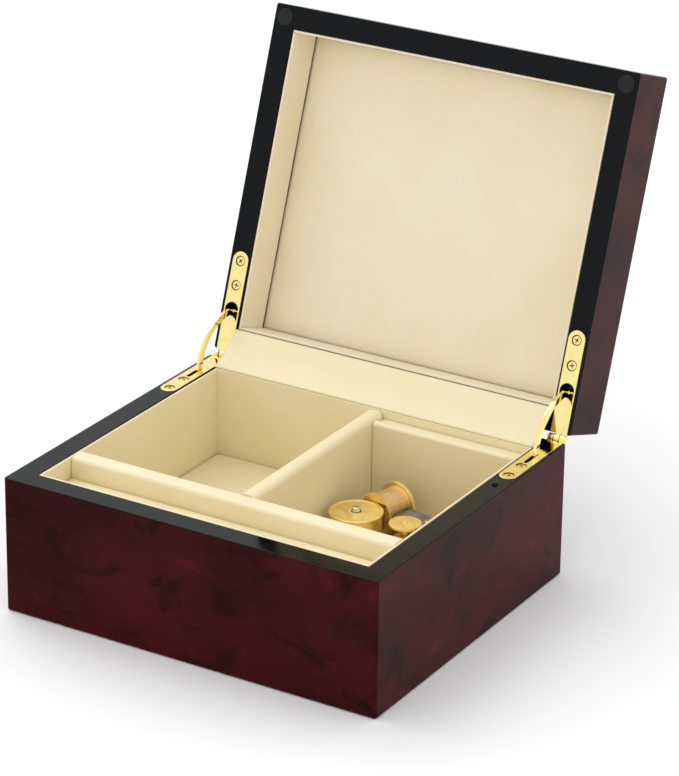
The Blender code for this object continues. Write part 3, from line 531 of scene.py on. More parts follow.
def makeCase():
    shape = hollowBlock(caseLow, caseHigh)
    paintRim(shape, caseHigh.z, 1)
    tools = []
    for side, centre in leafMiddle.items():
        tools.append(leafSeat(side, baseFace - hingeLeaf["thick"] - case["room"],
                              caseHigh.z + 3 * mm))
        tools.append(blockShape((centre - case["channelHalf"], hinge.y - 33.2 * mm, 26 * mm),
                                (centre + case["channelHalf"], hinge.y - 12 * mm,
                                 caseHigh.z + 2 * mm)))
    middle = (stopPin[0] + stopPin[1]) / 2
    radius = (stopPin[1].x - stopPin[0].x) / 2 + 0.4 * mm
    countersink = 0.35 * mm
    bore = latheShape([(0, 25 * mm), (radius, 25 * mm), (radius, caseHigh.z - countersink),
                       (radius + 2 * countersink, caseHigh.z + countersink),
                       (0, caseHigh.z + countersink)], 40)
    tools.append(moved(bore, middle.x, middle.y))
    tools.append(blockShape((caseHigh.x - wallThick - 1 * mm, stopLever[0].y, 22 * mm),
                            (caseHigh.x - 4 * mm, stopLever[1].y, 29 * mm)))
    tools.append(gussetStep(caseHigh.z - case["stepDeep"], caseHigh.z + 2 * mm))
    shape = combined(shape, tools, toolFinish=1)
    makePiece("caseShell", shape, [veneer, rim], "base",
              ["base_front_wall", "base_back_wall", "base_left_wall", "base_right_wall"],
              even=True)


def makeLidShell():
    shape = hollowBlock(lidLow, lidHigh, lidPanel[0].z)
    paintRim(shape, lidLow.z, -1)
    tools = []
    for side, centre in leafMiddle.items():
        tools.append(leafSeat(side, lidLow.z - 3 * mm,
                              lidFace + hingeLeaf["thick"] + case["room"]))
        tools.append(blockShape((centre - case["channelHalf"] - case["pocketRoom"],
                                 stayPivot.y - 4.4 * mm, lidLow.z - 1 * mm),
                                (centre + case["channelHalf"] + case["pocketRoom"],
                                 stayPivot.y + 2.9 * mm, stayPivot.z + 2.6 * mm)))
        buffer = boxIn(lidPlace, f"lid_bumper_{side}")
        middle = (buffer[0] + buffer[1]) / 2
        radius = (buffer[1].x - buffer[0].x) / 2 + 0.1 * mm
        seat = latheShape([(0, -1 * mm), (radius, -1 * mm), (radius, 0.3 * mm),
                           (0, 0.3 * mm)], 48)
        tools.append(moved(seat, middle.x, middle.y, lidLow.z))
    tools.append(gussetStep(lidLow.z - 2 * mm, lidLow.z + case["stepDeep"]))
    shape = combined(shape, tools, toolFinish=1)
    makePiece("lidShell", shape, [veneer, rim], "lid",
              ["lid_front_wall", "lid_back_wall", "lid_left_wall", "lid_right_wall",
               "lid_top_panel"], lidPlace, even=True)


makeCase()
makeLidShell()
print("case and lid made")

# The lining: covered boards on the walls, padded dividers and stuffed floor pads

lining = {"longShoulder": 2.5 * mm, "crossShoulder": 3.0 * mm, "nose": 1.5 * mm,
          "edge": 0.3 * mm, "crown": 1.0 * mm, "padEdge": 1.7 * mm, 
          "cell": 3.4 * mm, "ripple": 0.10 * mm, "seam": 0.10 * mm, "border": 10 * mm}


def softened(shape, amount, size, held=None):
    # a slight hand-made unevenness; held vertices stay where they are
    for vertex in shape.verts:
        if held and held(vertex.co):
            continue
        vertex.co += noise.noise_vector(vertex.co / size) * amount
    return shape


def runsAlong(edge, axis, least):
    span = edge.verts[1].co - edge.verts[0].co
    return abs(span[axis]) > least


def divided(shape, cuts, pick):
    edges = [edge for edge in shape.edges if pick(edge)]
    bmesh.ops.subdivide_edges(shape, edges=edges, cuts=cuts, use_grid_fill=True)
    return shape


def linerBoards(low, high, thick, rimLevel):
    # four boards with turned edges at the rim, meeting in fine corner seams
    shape = bmesh.new()
    inner = thick + lining["seam"]
    spans = [(low.x, low.y, high.x, low.y + thick), (low.x, high.y - thick, high.x, high.y),
             (low.x, low.y + inner, low.x + thick, high.y - inner),
             (high.x - thick, low.y + inner, high.x, high.y - inner)]
    for left, front, right, back in spans:
        panel = blockShape((left, front, low.z), (right, back, high.z))
        rounded(panel, lining["edge"], 4, lambda edge: isLevel(edge, rimLevel))
        added(shape, panel)
    return shape


def padShape(low, high, crown, edge, facing=1):
    # a stuffed board: soft borders and a crown, facing up or down
    shape = bmesh.new()
    size = high - low
    cells = [max(4, round(size[axis] / lining["cell"])) for axis in (0, 1)]
    bmesh.ops.create_grid(shape, x_segments=cells[0], y_segments=cells[1], size=0.5)
    bmesh.ops.scale(shape, vec=(size.x, size.y, 1), verts=shape.verts)
    border = [item for item in shape.edges if item.is_boundary]
    raised = bmesh.ops.extrude_edge_only(shape, edges=border)["geom"]
    foot = [item for item in raised if isinstance(item, bmesh.types.BMVert)]
    bmesh.ops.translate(shape, vec=(0, 0, crown - size.z), verts=foot)
    bmesh.ops.edgeloop_fill(shape, edges=[item for item in shape.edges if item.is_boundary])
    bmesh.ops.recalc_face_normals(shape, faces=shape.faces)
    rounded(shape, edge, 5, lambda item: isLevel(item, 0) and isSharp(item))
    for vertex in shape.verts:
        if vertex.co.z > crown - size.z + 0.1 * mm:
            across = min(1, (size.x / 2 - abs(vertex.co.x)) / lining["border"])
            along = min(1, (size.y / 2 - abs(vertex.co.y)) / lining["border"])
            rise = math.sin(max(0, across) * math.pi / 2) * math.sin(max(0, along) * math.pi / 2)
            vertex.co.z += crown * rise * (1 + vertex.co.z / size.z)
    if facing < 0:
        bmesh.ops.rotate(shape, matrix=Matrix.Rotation(math.pi, 3, "X"), verts=shape.verts)
    level = high.z - crown if facing > 0 else low.z + crown
    return moved(shape, (low.x + high.x) / 2, (low.y + high.y) / 2, level)


def rollTop(low, high, along, shoulder, nose):
    # a divider with round shoulders, and a rounded far end where its top stands free
    shape = blockShape(low, high)
    rounded(shape, shoulder, 8, lambda edge: isLevel(edge, high.z)
            and runsAlong(edge, along, 10 * mm))
    if nose:
        rounded(shape, nose, 5, lambda edge: midPoint(edge)[along] > high[along] - 1e-5
                and midPoint(edge).z > high.z - shoulder * 1.05 and isSharp(edge))
    return shape


def makeLining():
    low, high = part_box("base_liner")
    shape = linerBoards(low, high, 1.2 * mm, high.z)
    slot = blockShape((high.x - 3 * mm, stopLever[0].y, 22 * mm),
                      (high.x + 3 * mm, stopLever[1].y, 29 * mm))
    shape = combined(shape, [slot])
    makePiece("caseLiner", shape, [leather], "base", ["base_liner"], even=True)
    low, high = boxIn(lidPlace, "lid_liner")
    makePiece("lidLiner", linerBoards(low, high, 1.2 * mm, low.z), [lidLitLeather], "lid",
              ["lid_liner"], lidPlace, even=True)
    for name, node, facing, crown, body, place in (
            ("jewelryPad", "jewelry_floor_pad", 1, lining["crown"], "base", casePlace),
            ("trayPad", "tray_floor_pad", 1, lining["crown"] * 0.7, "base", casePlace),
            ("lidPad", "lid_floor_pad", -1, lining["crown"] * 1.1, "lid", lidPlace)):
        low, high = boxIn(place, node)
        shape = padShape(low, high, crown, lining["padEdge"], facing)
        softened(shape, lining["ripple"], 20 * mm)
        skin = lidLitLeather if body == "lid" else padLeather
        pad = makePiece(name, shape, [skin], body, [node], place)
    for name, node, along, shoulder, nose in (
            ("longDivider", "long_divider", 0, lining["longShoulder"], 0),
            ("crossDivider", "cross_divider", 1, lining["crossShoulder"], lining["nose"])):
        low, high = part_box(node)
        shape = rollTop(low, high, along, shoulder, nose)
        divided(shape, 40, lambda edge: runsAlong(edge, along, 60 * mm))
        softened(shape, lining["ripple"], 14 * mm,
                 lambda point: point.z < high.z - 12 * mm
                 or not low[along] + 1 * mm < point[along] < high[along] - 3 * mm)
        divider = makePiece(name, shape, [leather], "base", [node], sharp=50,
                            even=True)


ledge = {"bead": 3.9 * mm, "round": 1.9 * mm, "fall": 1.3 * mm, "sink": 2.2 * mm}


def makeLedge():
    # the padded panel behind the movement: a rolled bead, then a sunk strip
    low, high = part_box("ledge_panel")
    outline = [(low.y, low.z)]
    outline += arcPoints((low.y + ledge["round"], high.z - ledge["round"]), ledge["round"],
                         180, 90, 8)
    outline += arcPoints((low.y + ledge["bead"] - ledge["fall"], high.z - ledge["fall"]),
                         ledge["fall"], 90, 5, 6)
    outline += [(low.y + ledge["bead"] + 0.2 * mm, high.z - ledge["sink"]),
                (high.y, high.z - ledge["sink"]), (high.y, low.z)]
    shape = cutShape(outline, high.x - low.x, "X")
    moved(shape, low.x)
    divided(shape, 30, lambda edge: runsAlong(edge, 0, 40 * mm))
    softened(shape, lining["ripple"], 14 * mm, lambda point: point.z < high.z - 6 * mm)
    panel = makePiece("ledgePanel", shape, [leather], "base",
                      ["ledge_panel"], sharp=50, even=True)


bay = {"bore": 10.8 * mm, "edge": 0.45 * mm}


def makeBayFloor():
    low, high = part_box("movement_board")
    hole = latheShape([(0, low.z - mm), (bay["bore"], low.z - mm),
                       (bay["bore"], high.z + mm), (0, high.z + mm)], 48)
    shape = combined(blockShape(low, high), [moved(hole, barrelAt.x, barrelAt.y)])
    rounded(shape, bay["edge"], 3, lambda edge: isLevel(edge, high.z) and isSharp(edge))
    makePiece("bayFloor", shape, [leather], "base", ["movement_board"],
              even=True)


makeLining()
makeLedge()
makeBayFloor()
print("lining made")

# The gusset: one strip of lining cloth from the case's back edge up to the lid's

gusset = {"thick": 0.45 * mm, "columns": 90, "rows": 18, "sag": 0.9 * mm, "wave": 0.35 * mm,
          "spread": 1.1 * mm}


def makeGusset():
    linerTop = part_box("base_liner")[1]
    start = Vector((linerTop.y - 0.7 * mm, linerTop.z + 0.28 * mm))
    end = Vector((gussetBox[1].y + 0.5 * mm, gussetBox[1].z + 0.1 * mm))
    left, right = gussetBox[0].x - gusset["spread"], gussetBox[1].x + gusset["spread"]
    shape = bmesh.new()
    bmesh.ops.create_grid(shape, x_segments=gusset["columns"], y_segments=gusset["rows"],
                          size=0.5)
    run = end - start
    away = Vector((-run.y, run.x)).normalized()
    for vertex in shape.verts:
        along = vertex.co.y + 0.5
        free = math.sin(math.pi * along)
        x = left + (vertex.co.x + 0.5) * (right - left)
        wave = noise.noise(Vector((x * 40, along * 1.5, 0.4)))
        lift = free * (wave * gusset["wave"] - gusset["sag"])
        point = start + run * along + away * lift
        vertex.co = (x, point.x, point.y)
    cloth = makePiece("lidGusset", shape, [leather], None, ["hinge_flap"])
    skin = cloth.modifiers.new("clothThickness", "SOLIDIFY")
    skin.thickness = gusset["thick"]
    skin.offset = 0
    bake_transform(cloth)


makeGusset()
print("gusset made")

# The hinges: polished leaves with countersunk cross-head screws, and curved stays

screw = {"head": 2.25 * mm, "rise": 0.05 * mm, "sunk": 0.5 * mm, "ring": 0.45 * mm,
         "shank": 1.0 * mm, "length": 6 * mm,
         "crossLong": 2.6 * mm, "crossWide": 0.5 * mm, "crossDeep": 0.8 * mm}


def rodAcross(radius, left, right, y, z, chamfer=0.25 * mm, segments=32):
    # a round bar along X with eased ends
    profile = [(0, left), (radius - chamfer, left), (radius, left + chamfer),
               (radius, right - chamfer), (radius - chamfer, right), (0, right)]
    rod = latheShape(profile, segments)
    turned = Matrix(((0, 0, 1, 0), (0, 1, 0, 0), (-1, 0, 0, 0), (0, 0, 0, 1)))
    bmesh.ops.transform(rod, matrix=turned, verts=rod.verts)
    return moved(rod, 0, y, z)


def knuckleSpans(side):
    gap = hingeLeaf["gap"]
    third = (2 * leafHalf - 2 * gap) / 3
    left = leafMiddle[side] - leafHalf
    return [(left + step * (third + gap), left + step * (third + gap) + third)
            for step in range(3)]


def longHole(centre, half, front, back, low, high):
    # a slot with round ends, as a cutting shape
    plan = arcPoints((centre, front + half), half, 180, 360, 12)
    plan += arcPoints((centre, back - half), half, 0, 180, 12)
    return moved(cutShape(plan, high - low), z=low)


def archHole(centre, half, front, back, low, high):
    # an arched opening over a round-topped tongue
    plan = arcPoints((centre, front + half), half, 180, 360, 20)
    plan += arcPoints((centre, back + half), half, 340, 200, 16)
    return moved(cutShape(plan, high - low), z=low)


def screwSeat(centre, row, face, depth):
    # depth is -1 for a screw driven down and +1 for one driven up into the lid
    wide = screw["head"] + screw["ring"]
    seat = latheShape([(0, -0.3 * mm), (wide, -0.3 * mm), (wide - 0.2 * mm, 0.7 * mm),
                       (screw["shank"] + 0.3 * mm, 1.3 * mm),
                       (screw["shank"] + 0.3 * mm, 7 * mm), (0, 7 * mm)], 32)
    bmesh.ops.scale(seat, vec=(1, 1, depth), verts=seat.verts)
    return moved(seat, centre, row, face)


def screwShape(centre, row, face, depth, turn):
    head, shank = screw["head"], screw["shank"]
    shape = latheShape([(0, -screw["rise"]), (head * 0.72, -screw["rise"] * 0.8),
                        (head * 0.94, 0), (head, 0.12 * mm), (head, 0.25 * mm),
                        (shank, 1.3 * mm), (shank, screw["length"]),
                        (0, screw["length"] + 0.8 * mm)], 32)
    blades = []
    for quarter in range(2):
        long, wide = ((screw["crossLong"], screw["crossWide"]) if quarter == 0
                      else (screw["crossWide"], screw["crossLong"]))
        blade = blockShape((-long / 2, -wide / 2, -0.5 * mm), (long / 2, wide / 2,
                                                               screw["crossDeep"]))
        bmesh.ops.rotate(blade, matrix=Matrix.Rotation(turn, 3, "Z"), verts=blade.verts)
        blades.append(blade)
    shape = combined(shape, blades, toolFinish=1)
    bmesh.ops.scale(shape, vec=(1, 1, depth), verts=shape.verts)
    return moved(shape, centre, row, face + depth * screw["sunk"])


def leafShape(side, face, depth):
    # plate, knuckles and openings; the plate reaches away from its visible face
    spans = knuckleSpans(side)
    centre = leafMiddle[side]
    onBase = depth < 0
    thick = hingeLeaf["thick"]
    low = min(face, face + depth * thick)
    plate = moved(cutShape(leafPlan(centre, hinge.y - 0.5 * mm), thick), z=low)
    own, other = ((0, 2), (1,)) if onBase else ((1,), (0, 2))
    gap = hingeLeaf["gap"]
    windows = [blockShape((spans[index][0] - gap - (index == 0) * mm, caseHigh.y - 0.1 * mm,
                           low - 5 * mm),
                          (spans[index][1] + gap + (index == 2) * mm, caseHigh.y + 9 * mm,
                           low + 9 * mm)) for index in other]
    rows = [boxIn(casePlace, f"base_screw_{side}_{number}") for number in (1, 2)]
    holes = [screwSeat(centre, (row[0].y + row[1].y) / 2, face, depth) for row in rows]
    if onBase:
        holes.append(longHole(centre, hingeLeaf["slotHalf"], hinge.y - 32.4 * mm,
                              hinge.y - 19.6 * mm, low - mm, low + 3 * mm))
    else:
        holes.append(archHole(centre, hingeLeaf["windowHalf"], stayPivot.y - 4.4 * mm,
                              stayPivot.y + 2.4 * mm, low - mm, low + 3 * mm))
    plate = combined(plate, windows + holes, toolFinish=1)
    rounded(plate, hingeLeaf["edge"], 3, lambda edge: isSharp(edge) and isLevel(edge, face))
    knuckles = [rodAcross(hingeLeaf["knuckle"], *spans[index], hinge.y, hinge.z)
                for index in own]
    plate = combined(plate, knuckles, "UNION")
    if onBase:
        pin = rodAcross(hingeLeaf["pin"], spans[0][0] - 0.4 * mm, spans[2][1] + 0.4 * mm,
                        hinge.y, hinge.z, 0.3 * mm, 24)
        return combined(plate, [pin], "UNION")
    bore = rodAcross(hingeLeaf["pin"] + gap, spans[0][0], spans[2][1], hinge.y, hinge.z, 0, 24)
    return combined(plate, [bore])


def makeHinge(side):
    centre = leafMiddle[side]
    makePiece(f"baseLeaf{side.title()}", leafShape(side, baseFace, -1), [gold, darkGold],
              "base", [f"base_leaf_{side}"], even=True)
    makePiece(f"lidLeaf{side.title()}", leafShape(side, lidFace, 1), [gold, darkGold],
              "lid", [f"lid_leaf_{side}"], lidPlace, even=True)
    for number in (1, 2):
        low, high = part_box(f"base_screw_{side}_{number}")
        row = (low.y + high.y) / 2
        turn = 0.5 + 0.9 * number + (side == "left") * 0.4
        makePiece(f"baseScrew{side.title()}{number}",
                  screwShape(centre, row, baseFace, -1, turn), [gold, darkGold], "base",
                  [f"base_screw_{side}_{number}"])
        makePiece(f"lidScrew{side.title()}{number}",
                  screwShape(centre, row, lidFace, 1, turn + 0.6), [gold, darkGold], "lid",
                  [f"lid_screw_{side}_{number}"], lidPlace)


stay = {"halfWidth": 1.8 * mm, "thick": 1.6 * mm, "edge": 0.35 * mm, "steps": 40,
        "centre": (3.8 * mm, -4.9 * mm), "foot": 182, "rivet": 1.3 * mm,
        "rivetReach": 1.5 * mm, "pin": 0.6 * mm, "pinRoom": 0.05 * mm}


def makeStay(side):
    # a flat strap along an arc, from the pivot in the lid down into the case wall
    pivot = Vector(joints[f"stay_{side}_pivot"]["pos_m"])
    middle = (hinge.y + stay["centre"][0], hinge.z + stay["centre"][1])
    reach = Vector((pivot.y - middle[0], pivot.z - middle[1]))
    start = math.degrees(math.atan2(reach.y, reach.x))
    half, radius = stay["halfWidth"], reach.length
    angle = math.radians(stay["foot"])
    foot = (middle[0] + radius * math.cos(angle), middle[1] + radius * math.sin(angle))
    plan = arcPoints(middle, radius + half, start, stay["foot"], stay["steps"])
    plan += arcPoints(foot, half, stay["foot"], stay["foot"] + 180, 10)[1:-1]
    plan += arcPoints(middle, radius - half, stay["foot"], start, stay["steps"])
    plan += arcPoints((pivot.y, pivot.z), half, start + 180, start + 360, 10)[1:-1]
    strap = cutShape(plan, stay["thick"], "X")
    moved(strap, leafMiddle[side] - stay["thick"] / 2)
    rounded(strap, stay["edge"], 3, lambda edge: isSharp(edge, 60))
    centre = leafMiddle[side]
    rivet = rodAcross(stay["rivet"], centre - stay["rivetReach"], centre + stay["rivetReach"],
                      pivot.y, pivot.z, 0.4 * mm)
    pinReach = case["channelHalf"] + case["pocketRoom"] - stay["pinRoom"]
    pin = rodAcross(stay["pin"], centre - pinReach, centre + pinReach, pivot.y, pivot.z)
    strap = combined(strap, [rivet, pin], "UNION")
    makePiece(f"stayArm{side.title()}", strap, [gold], f"stay_{side}",
              [f"stay_arm_{side}"], even=True)


def makeBumper(side):
    low, high = boxIn(lidPlace, f"lid_bumper_{side}")
    radius = (high.x - low.x) / 2
    thick = high.z - low.z
    shape = latheShape([(0, thick), (radius, thick), (radius, 0.2 * mm),
                        (radius - 0.05 * mm, 0.1 * mm), (radius - 0.2 * mm, 0.03 * mm),
                        (radius * 0.6, 0), (0, 0)], 48)
    moved(shape, (low.x + high.x) / 2, (low.y + high.y) / 2, low.z)
    makePiece(f"lidBumper{side.title()}", shape, [rubber], "lid",
              [f"lid_bumper_{side}"], lidPlace)


for side in ("left", "right"):
    makeHinge(side)
    makeStay(side)
    makeBumper(side)
print("hinges, stays and bumpers made")

# The movement, modelled square to its drum and turned into place

works = {"ringTeeth": 72, "toothDeep": 0.8 * mm}


def eased(profile, ease):
    # a turned profile with each outer corner cut to a small chamfer
    points = []
    for index, point in enumerate(profile):
        before = Vector(profile[index - 1])
        here = Vector(point)
        after = Vector(profile[(index + 1) % len(profile)])
        for other in (before, after):
            span = other - here
            cut = min(ease, span.length * 0.4)
            points.append(tuple(here + span.normalized() * cut))
    return points


def turnedRing(profile, segments=72, axis="Z", ease=0.15 * mm):
    # a bored turned part: the profile is a closed loop clear of the axis
    return latheShape(eased(profile, ease), segments, axis, closed=True)


def gearDisc(outer, low, high, teeth, axis="Z", bore=0.0, deep=None):
    wheel = cutShape(gearOutline(outer, deep or works["toothDeep"], teeth), high - low)
    moved(wheel, z=low)
    if bore:
        hole = latheShape([(0, low - mm), (bore, low - mm), (bore, high + mm), (0, high + mm)],
                          48)
        wheel = combined(wheel, [hole])
    turnTo(wheel, axis)
    return wheel


def part(name, shape, finishes, body, slot, stands, sharp=35, even=True):
    return makePiece(name, shape, finishes, body, stands, movementPlace, sharp, even)


def makeBarrel():
    low, high = boxIn(movementPlace, "barrel_cup")
    outer, wall, bore = 12.4 * mm, 11.6 * mm, 2.4 * mm
    ring = low.z + 1.4 * mm
    cup = turnedRing([(bore, low.z + 0.1 * mm), (outer, low.z + 0.1 * mm), (outer, high.z),
                      (wall, high.z), (wall, low.z + 2.6 * mm), (bore, low.z + 2.6 * mm)])
    teeth = gearDisc(high.x, low.z, ring, works["ringTeeth"], bore=wall - mm)
    part("barrelCup", combined(cup, [teeth], "UNION"), [brass], "barrel", "brass",
         ["barrel_cup"])
    low, high = boxIn(movementPlace, "barrel_cap")
    top, rim = high.z, high.x
    cap = latheShape([(bore, low.z), (rim - 0.25 * mm, low.z), (rim, low.z + 0.25 * mm),
                      (rim, top - 0.35 * mm), (rim - 0.1 * mm, top - 0.12 * mm),
                      (rim - 0.35 * mm, top), (rim - 1.5 * mm, top),
                      (rim - 1.75 * mm, top - 0.22 * mm), (5.2 * mm, top - 0.22 * mm),
                      (4.9 * mm, top - 0.05 * mm), (bore + 0.2 * mm, top - 0.05 * mm),
                      (bore, top - 0.2 * mm)], 96, closed=True)
    part("barrelCap", cap, [brass], "barrel", "brass", ["barrel_cap"])


def makeWinding():
    low, high = boxIn(movementPlace, "winding_arbor")
    stem, head = 2.0 * mm, 2.2 * mm
    ratchet = 18.4 * mm
    profile = [(0, low.z), (stem - 0.3 * mm, low.z), (stem, low.z + 0.3 * mm),
               (stem, high.z - 1.6 * mm), (head, high.z - 1.6 * mm),
               (head, high.z - 0.35 * mm), (head - 0.12 * mm, high.z - 0.1 * mm),
               (head - 0.35 * mm, high.z), (1.15 * mm, high.z),
               (1.0 * mm, high.z - 0.15 * mm), (0.95 * mm, high.z - 0.9 * mm),
               (0, high.z - 0.95 * mm)]
    arbor = latheShape(profile, 40)
    teeth = gearDisc(6.0 * mm, ratchet, ratchet + 1.8 * mm, 22, deep=0.9 * mm)
    arbor = combined(arbor, [teeth], "UNION")
    part("windingArbor", arbor, [nickel], "winding", "steel", ["winding_arbor"])
    low, high = boxIn(movementPlace, "wind_key")
    hub, wide = 4.0 * mm, high.x
    socket = latheShape([(0, high.z - 3.5 * mm), (2.3 * mm, high.z - 3.5 * mm),
                         (2.3 * mm, high.z), (hub - 0.4 * mm, high.z),
                         (hub, high.z - 0.4 * mm), (hub, low.z + 5.4 * mm),
                         (hub - 0.5 * mm, low.z + 5.0 * mm), (0, low.z + 5.0 * mm)], 40)
    lobe = 3.6 * mm
    wing = arcPoints((-wide + lobe, low.z + lobe), lobe, 100, 270, 14)
    wing += [(-2.4 * mm, low.z + 0.9 * mm), (2.4 * mm, low.z + 0.9 * mm)]
    wing += arcPoints((wide - lobe, low.z + lobe), lobe, 270, 440, 14)
    wing += [(3.4 * mm, low.z + 7.2 * mm), (-3.4 * mm, low.z + 7.2 * mm)]
    plate = cutShape([(x, -z) for x, z in wing], 1.8 * mm, "Y")
    moved(plate, y=-0.9 * mm)
    holes = []
    for sign in (-1, 1):
        hole = latheShape([(0, -2 * mm), (1.5 * mm, -2 * mm), (1.5 * mm, 2 * mm),
                           (0, 2 * mm)], 28, "Y")
        holes.append(moved(hole, sign * (wide - lobe), 0, low.z + lobe))
    plate = combined(plate, holes)
    rounded(plate, 0.35 * mm, 3, lambda edge: isSharp(edge, 60))
    part("windKey", combined(socket, [plate], "UNION"), [brass], "winding", "brass",
         ["wind_key"])


drum = {"tracks": 18, "pinsEach": 10, "pinRadius": 0.17 * mm, "pinRise": 0.38 * mm,
        "seed": 7, "clear": 0.7 * mm}


def makeDrum():
    low, high = boxIn(movementPlace, "music_cylinder")
    axisZ = (low.z + high.z) / 2
    bore, neck = 1.8 * mm, 7.2 * mm
    skinRadius = 8.0 * mm
    flange = (high.z - low.z) / 2
    gear = (low.y, low.y + 1.5 * mm)
    start, end = low.y + 2.3 * mm, high.y - 1.8 * mm
    body = turnedRing([(bore, gear[0] + 0.1 * mm), (neck, gear[0] + 0.1 * mm), (neck, start),
                       (skinRadius, start), (skinRadius, end), (flange, end),
                       (flange, high.y), (bore, high.y)], 96, "Y", 0.22 * mm)
    shape = combined(body, [gearDisc(9.6 * mm, *gear, 60, "Y", bore=neck - mm,
                                     deep=0.7 * mm)], "UNION")
    for face in shape.faces:
        middle = face.calc_center_median()
        spread = math.hypot(middle.x, middle.z)
        onSkin = start < middle.y < end and abs(spread - skinRadius) < 0.1 * mm
        face.material_index = 1 if onSkin else 0
    random.seed(drum["seed"])
    pitch = (end - start - 2 * drum["clear"]) / (drum["tracks"] - 1)
    for track in range(drum["tracks"]):
        for step in range(drum["pinsEach"]):
            angle = 2 * math.pi * (step + random.uniform(0, 0.8)) / drum["pinsEach"]
            out = Vector((math.cos(angle), 0, math.sin(angle)))
            at = out * (skinRadius + drum["pinRise"] / 2 - 0.08 * mm)
            at.y = start + drum["clear"] + track * pitch
            place = Matrix.Translation(at) @ out.to_track_quat("Z", "Y").to_matrix().to_4x4()
            made = bmesh.ops.create_cone(shape, cap_ends=True, segments=6,
                                         radius1=drum["pinRadius"],
                                         radius2=drum["pinRadius"] * 0.7,
                                         depth=drum["pinRise"], matrix=place)
            for vertex in made["verts"]:
                for face in vertex.link_faces:
                    face.material_index = 2
    moved(shape, 0, 0, axisZ)
    part("musicDrum", shape, [brass, drumSkin, brownBrass], "cylinder", "brass",
         ["music_cylinder"])


def makeDrumBracket():
    low, high = boxIn(movementPlace, "cylinder_bracket")
    drumBox = boxIn(movementPlace, "music_cylinder")
    axisZ = (drumBox[0].z + drumBox[1].z) / 2
    half = high.x
    outline = arcPoints((0, high.z - half), half, 0, 180, 20)
    outline += [(-half, low.z), (half, low.z)]
    plate = cutShape([(x, -z) for x, z in outline], 1.4 * mm, "Y")
    moved(plate, y=high.y - 1.4 * mm)
    rounded(plate, 0.25 * mm, 3, lambda edge: isSharp(edge, 60))
    axle = latheShape([(0, low.y), (1.2 * mm, low.y), (1.5 * mm, low.y + 0.3 * mm),
                       (1.5 * mm, high.y - 0.5 * mm), (0, high.y - 0.5 * mm)], 28, "Y")
    moved(axle, z=axisZ)
    part("drumBracket", combined(plate, [axle], "UNION"), [brownBrass], "base", "brass",
         ["cylinder_bracket"])


def makeComb():
    low, high = boxIn(movementPlace, "tuned_comb")
    teeth = 18
    pitch = (high.y - low.y) / teeth
    slit = pitch * 0.26
    rootNear, rootFar = low.x + 6.5 * mm, low.x + 11.2 * mm
    outline = [(high.x, high.y), (high.x, low.y)]
    for tooth in range(teeth):
        front = low.y + tooth * pitch
        root = rootFar + (rootNear - rootFar) * tooth / (teeth - 1)
        back = high.y if tooth == teeth - 1 else front + pitch - slit
        outline += [(low.x, front + 0.04 * mm), (low.x, back - 0.04 * mm)]
        if tooth < teeth - 1:
            outline += [(root, back), (root, front + pitch)]
    shape = moved(cutShape(outline, high.z - low.z), z=low.z)
    holes = []
    for number in (1, 2):
        box = boxIn(movementPlace, f"comb_screw_{number}")
        hole = latheShape([(0, low.z - mm), (1.3 * mm, low.z - mm), (1.3 * mm, high.z + mm),
                           (0, high.z + mm)], 24)
        holes.append(moved(hole, (box[0].x + box[1].x) / 2, (box[0].y + box[1].y) / 2))
    shape = combined(shape, holes)
    rounded(shape, 0.09 * mm, 1, lambda edge: isSharp(edge, 60) and isLevel(edge, high.z))
    part("tunedComb", shape, [steel], "base", "steel", ["tuned_comb"])


def slottedScrew(name, node, turn, finish):
    low, high = boxIn(movementPlace, node)
    head, shank = (high.x - low.x) / 2, 1.0 * mm
    under = high.z - 1.1 * mm
    shape = latheShape([(0, low.z), (shank, low.z + 0.3 * mm), (shank, under), (head, under),
                        (head, high.z - 0.35 * mm), (head - 0.15 * mm, high.z - 0.1 * mm),
                        (head - 0.45 * mm, high.z), (0, high.z)], 32)
    slot = blockShape((-3 * mm, -0.28 * mm, high.z - 0.6 * mm),
                      (3 * mm, 0.28 * mm, high.z + mm))
    bmesh.ops.rotate(slot, matrix=Matrix.Rotation(turn, 3, "Z"), verts=slot.verts)
    shape = combined(shape, [slot])
    moved(shape, (low.x + high.x) / 2, (low.y + high.y) / 2)
    part(name, shape, [finish], "base", "steel", [node])


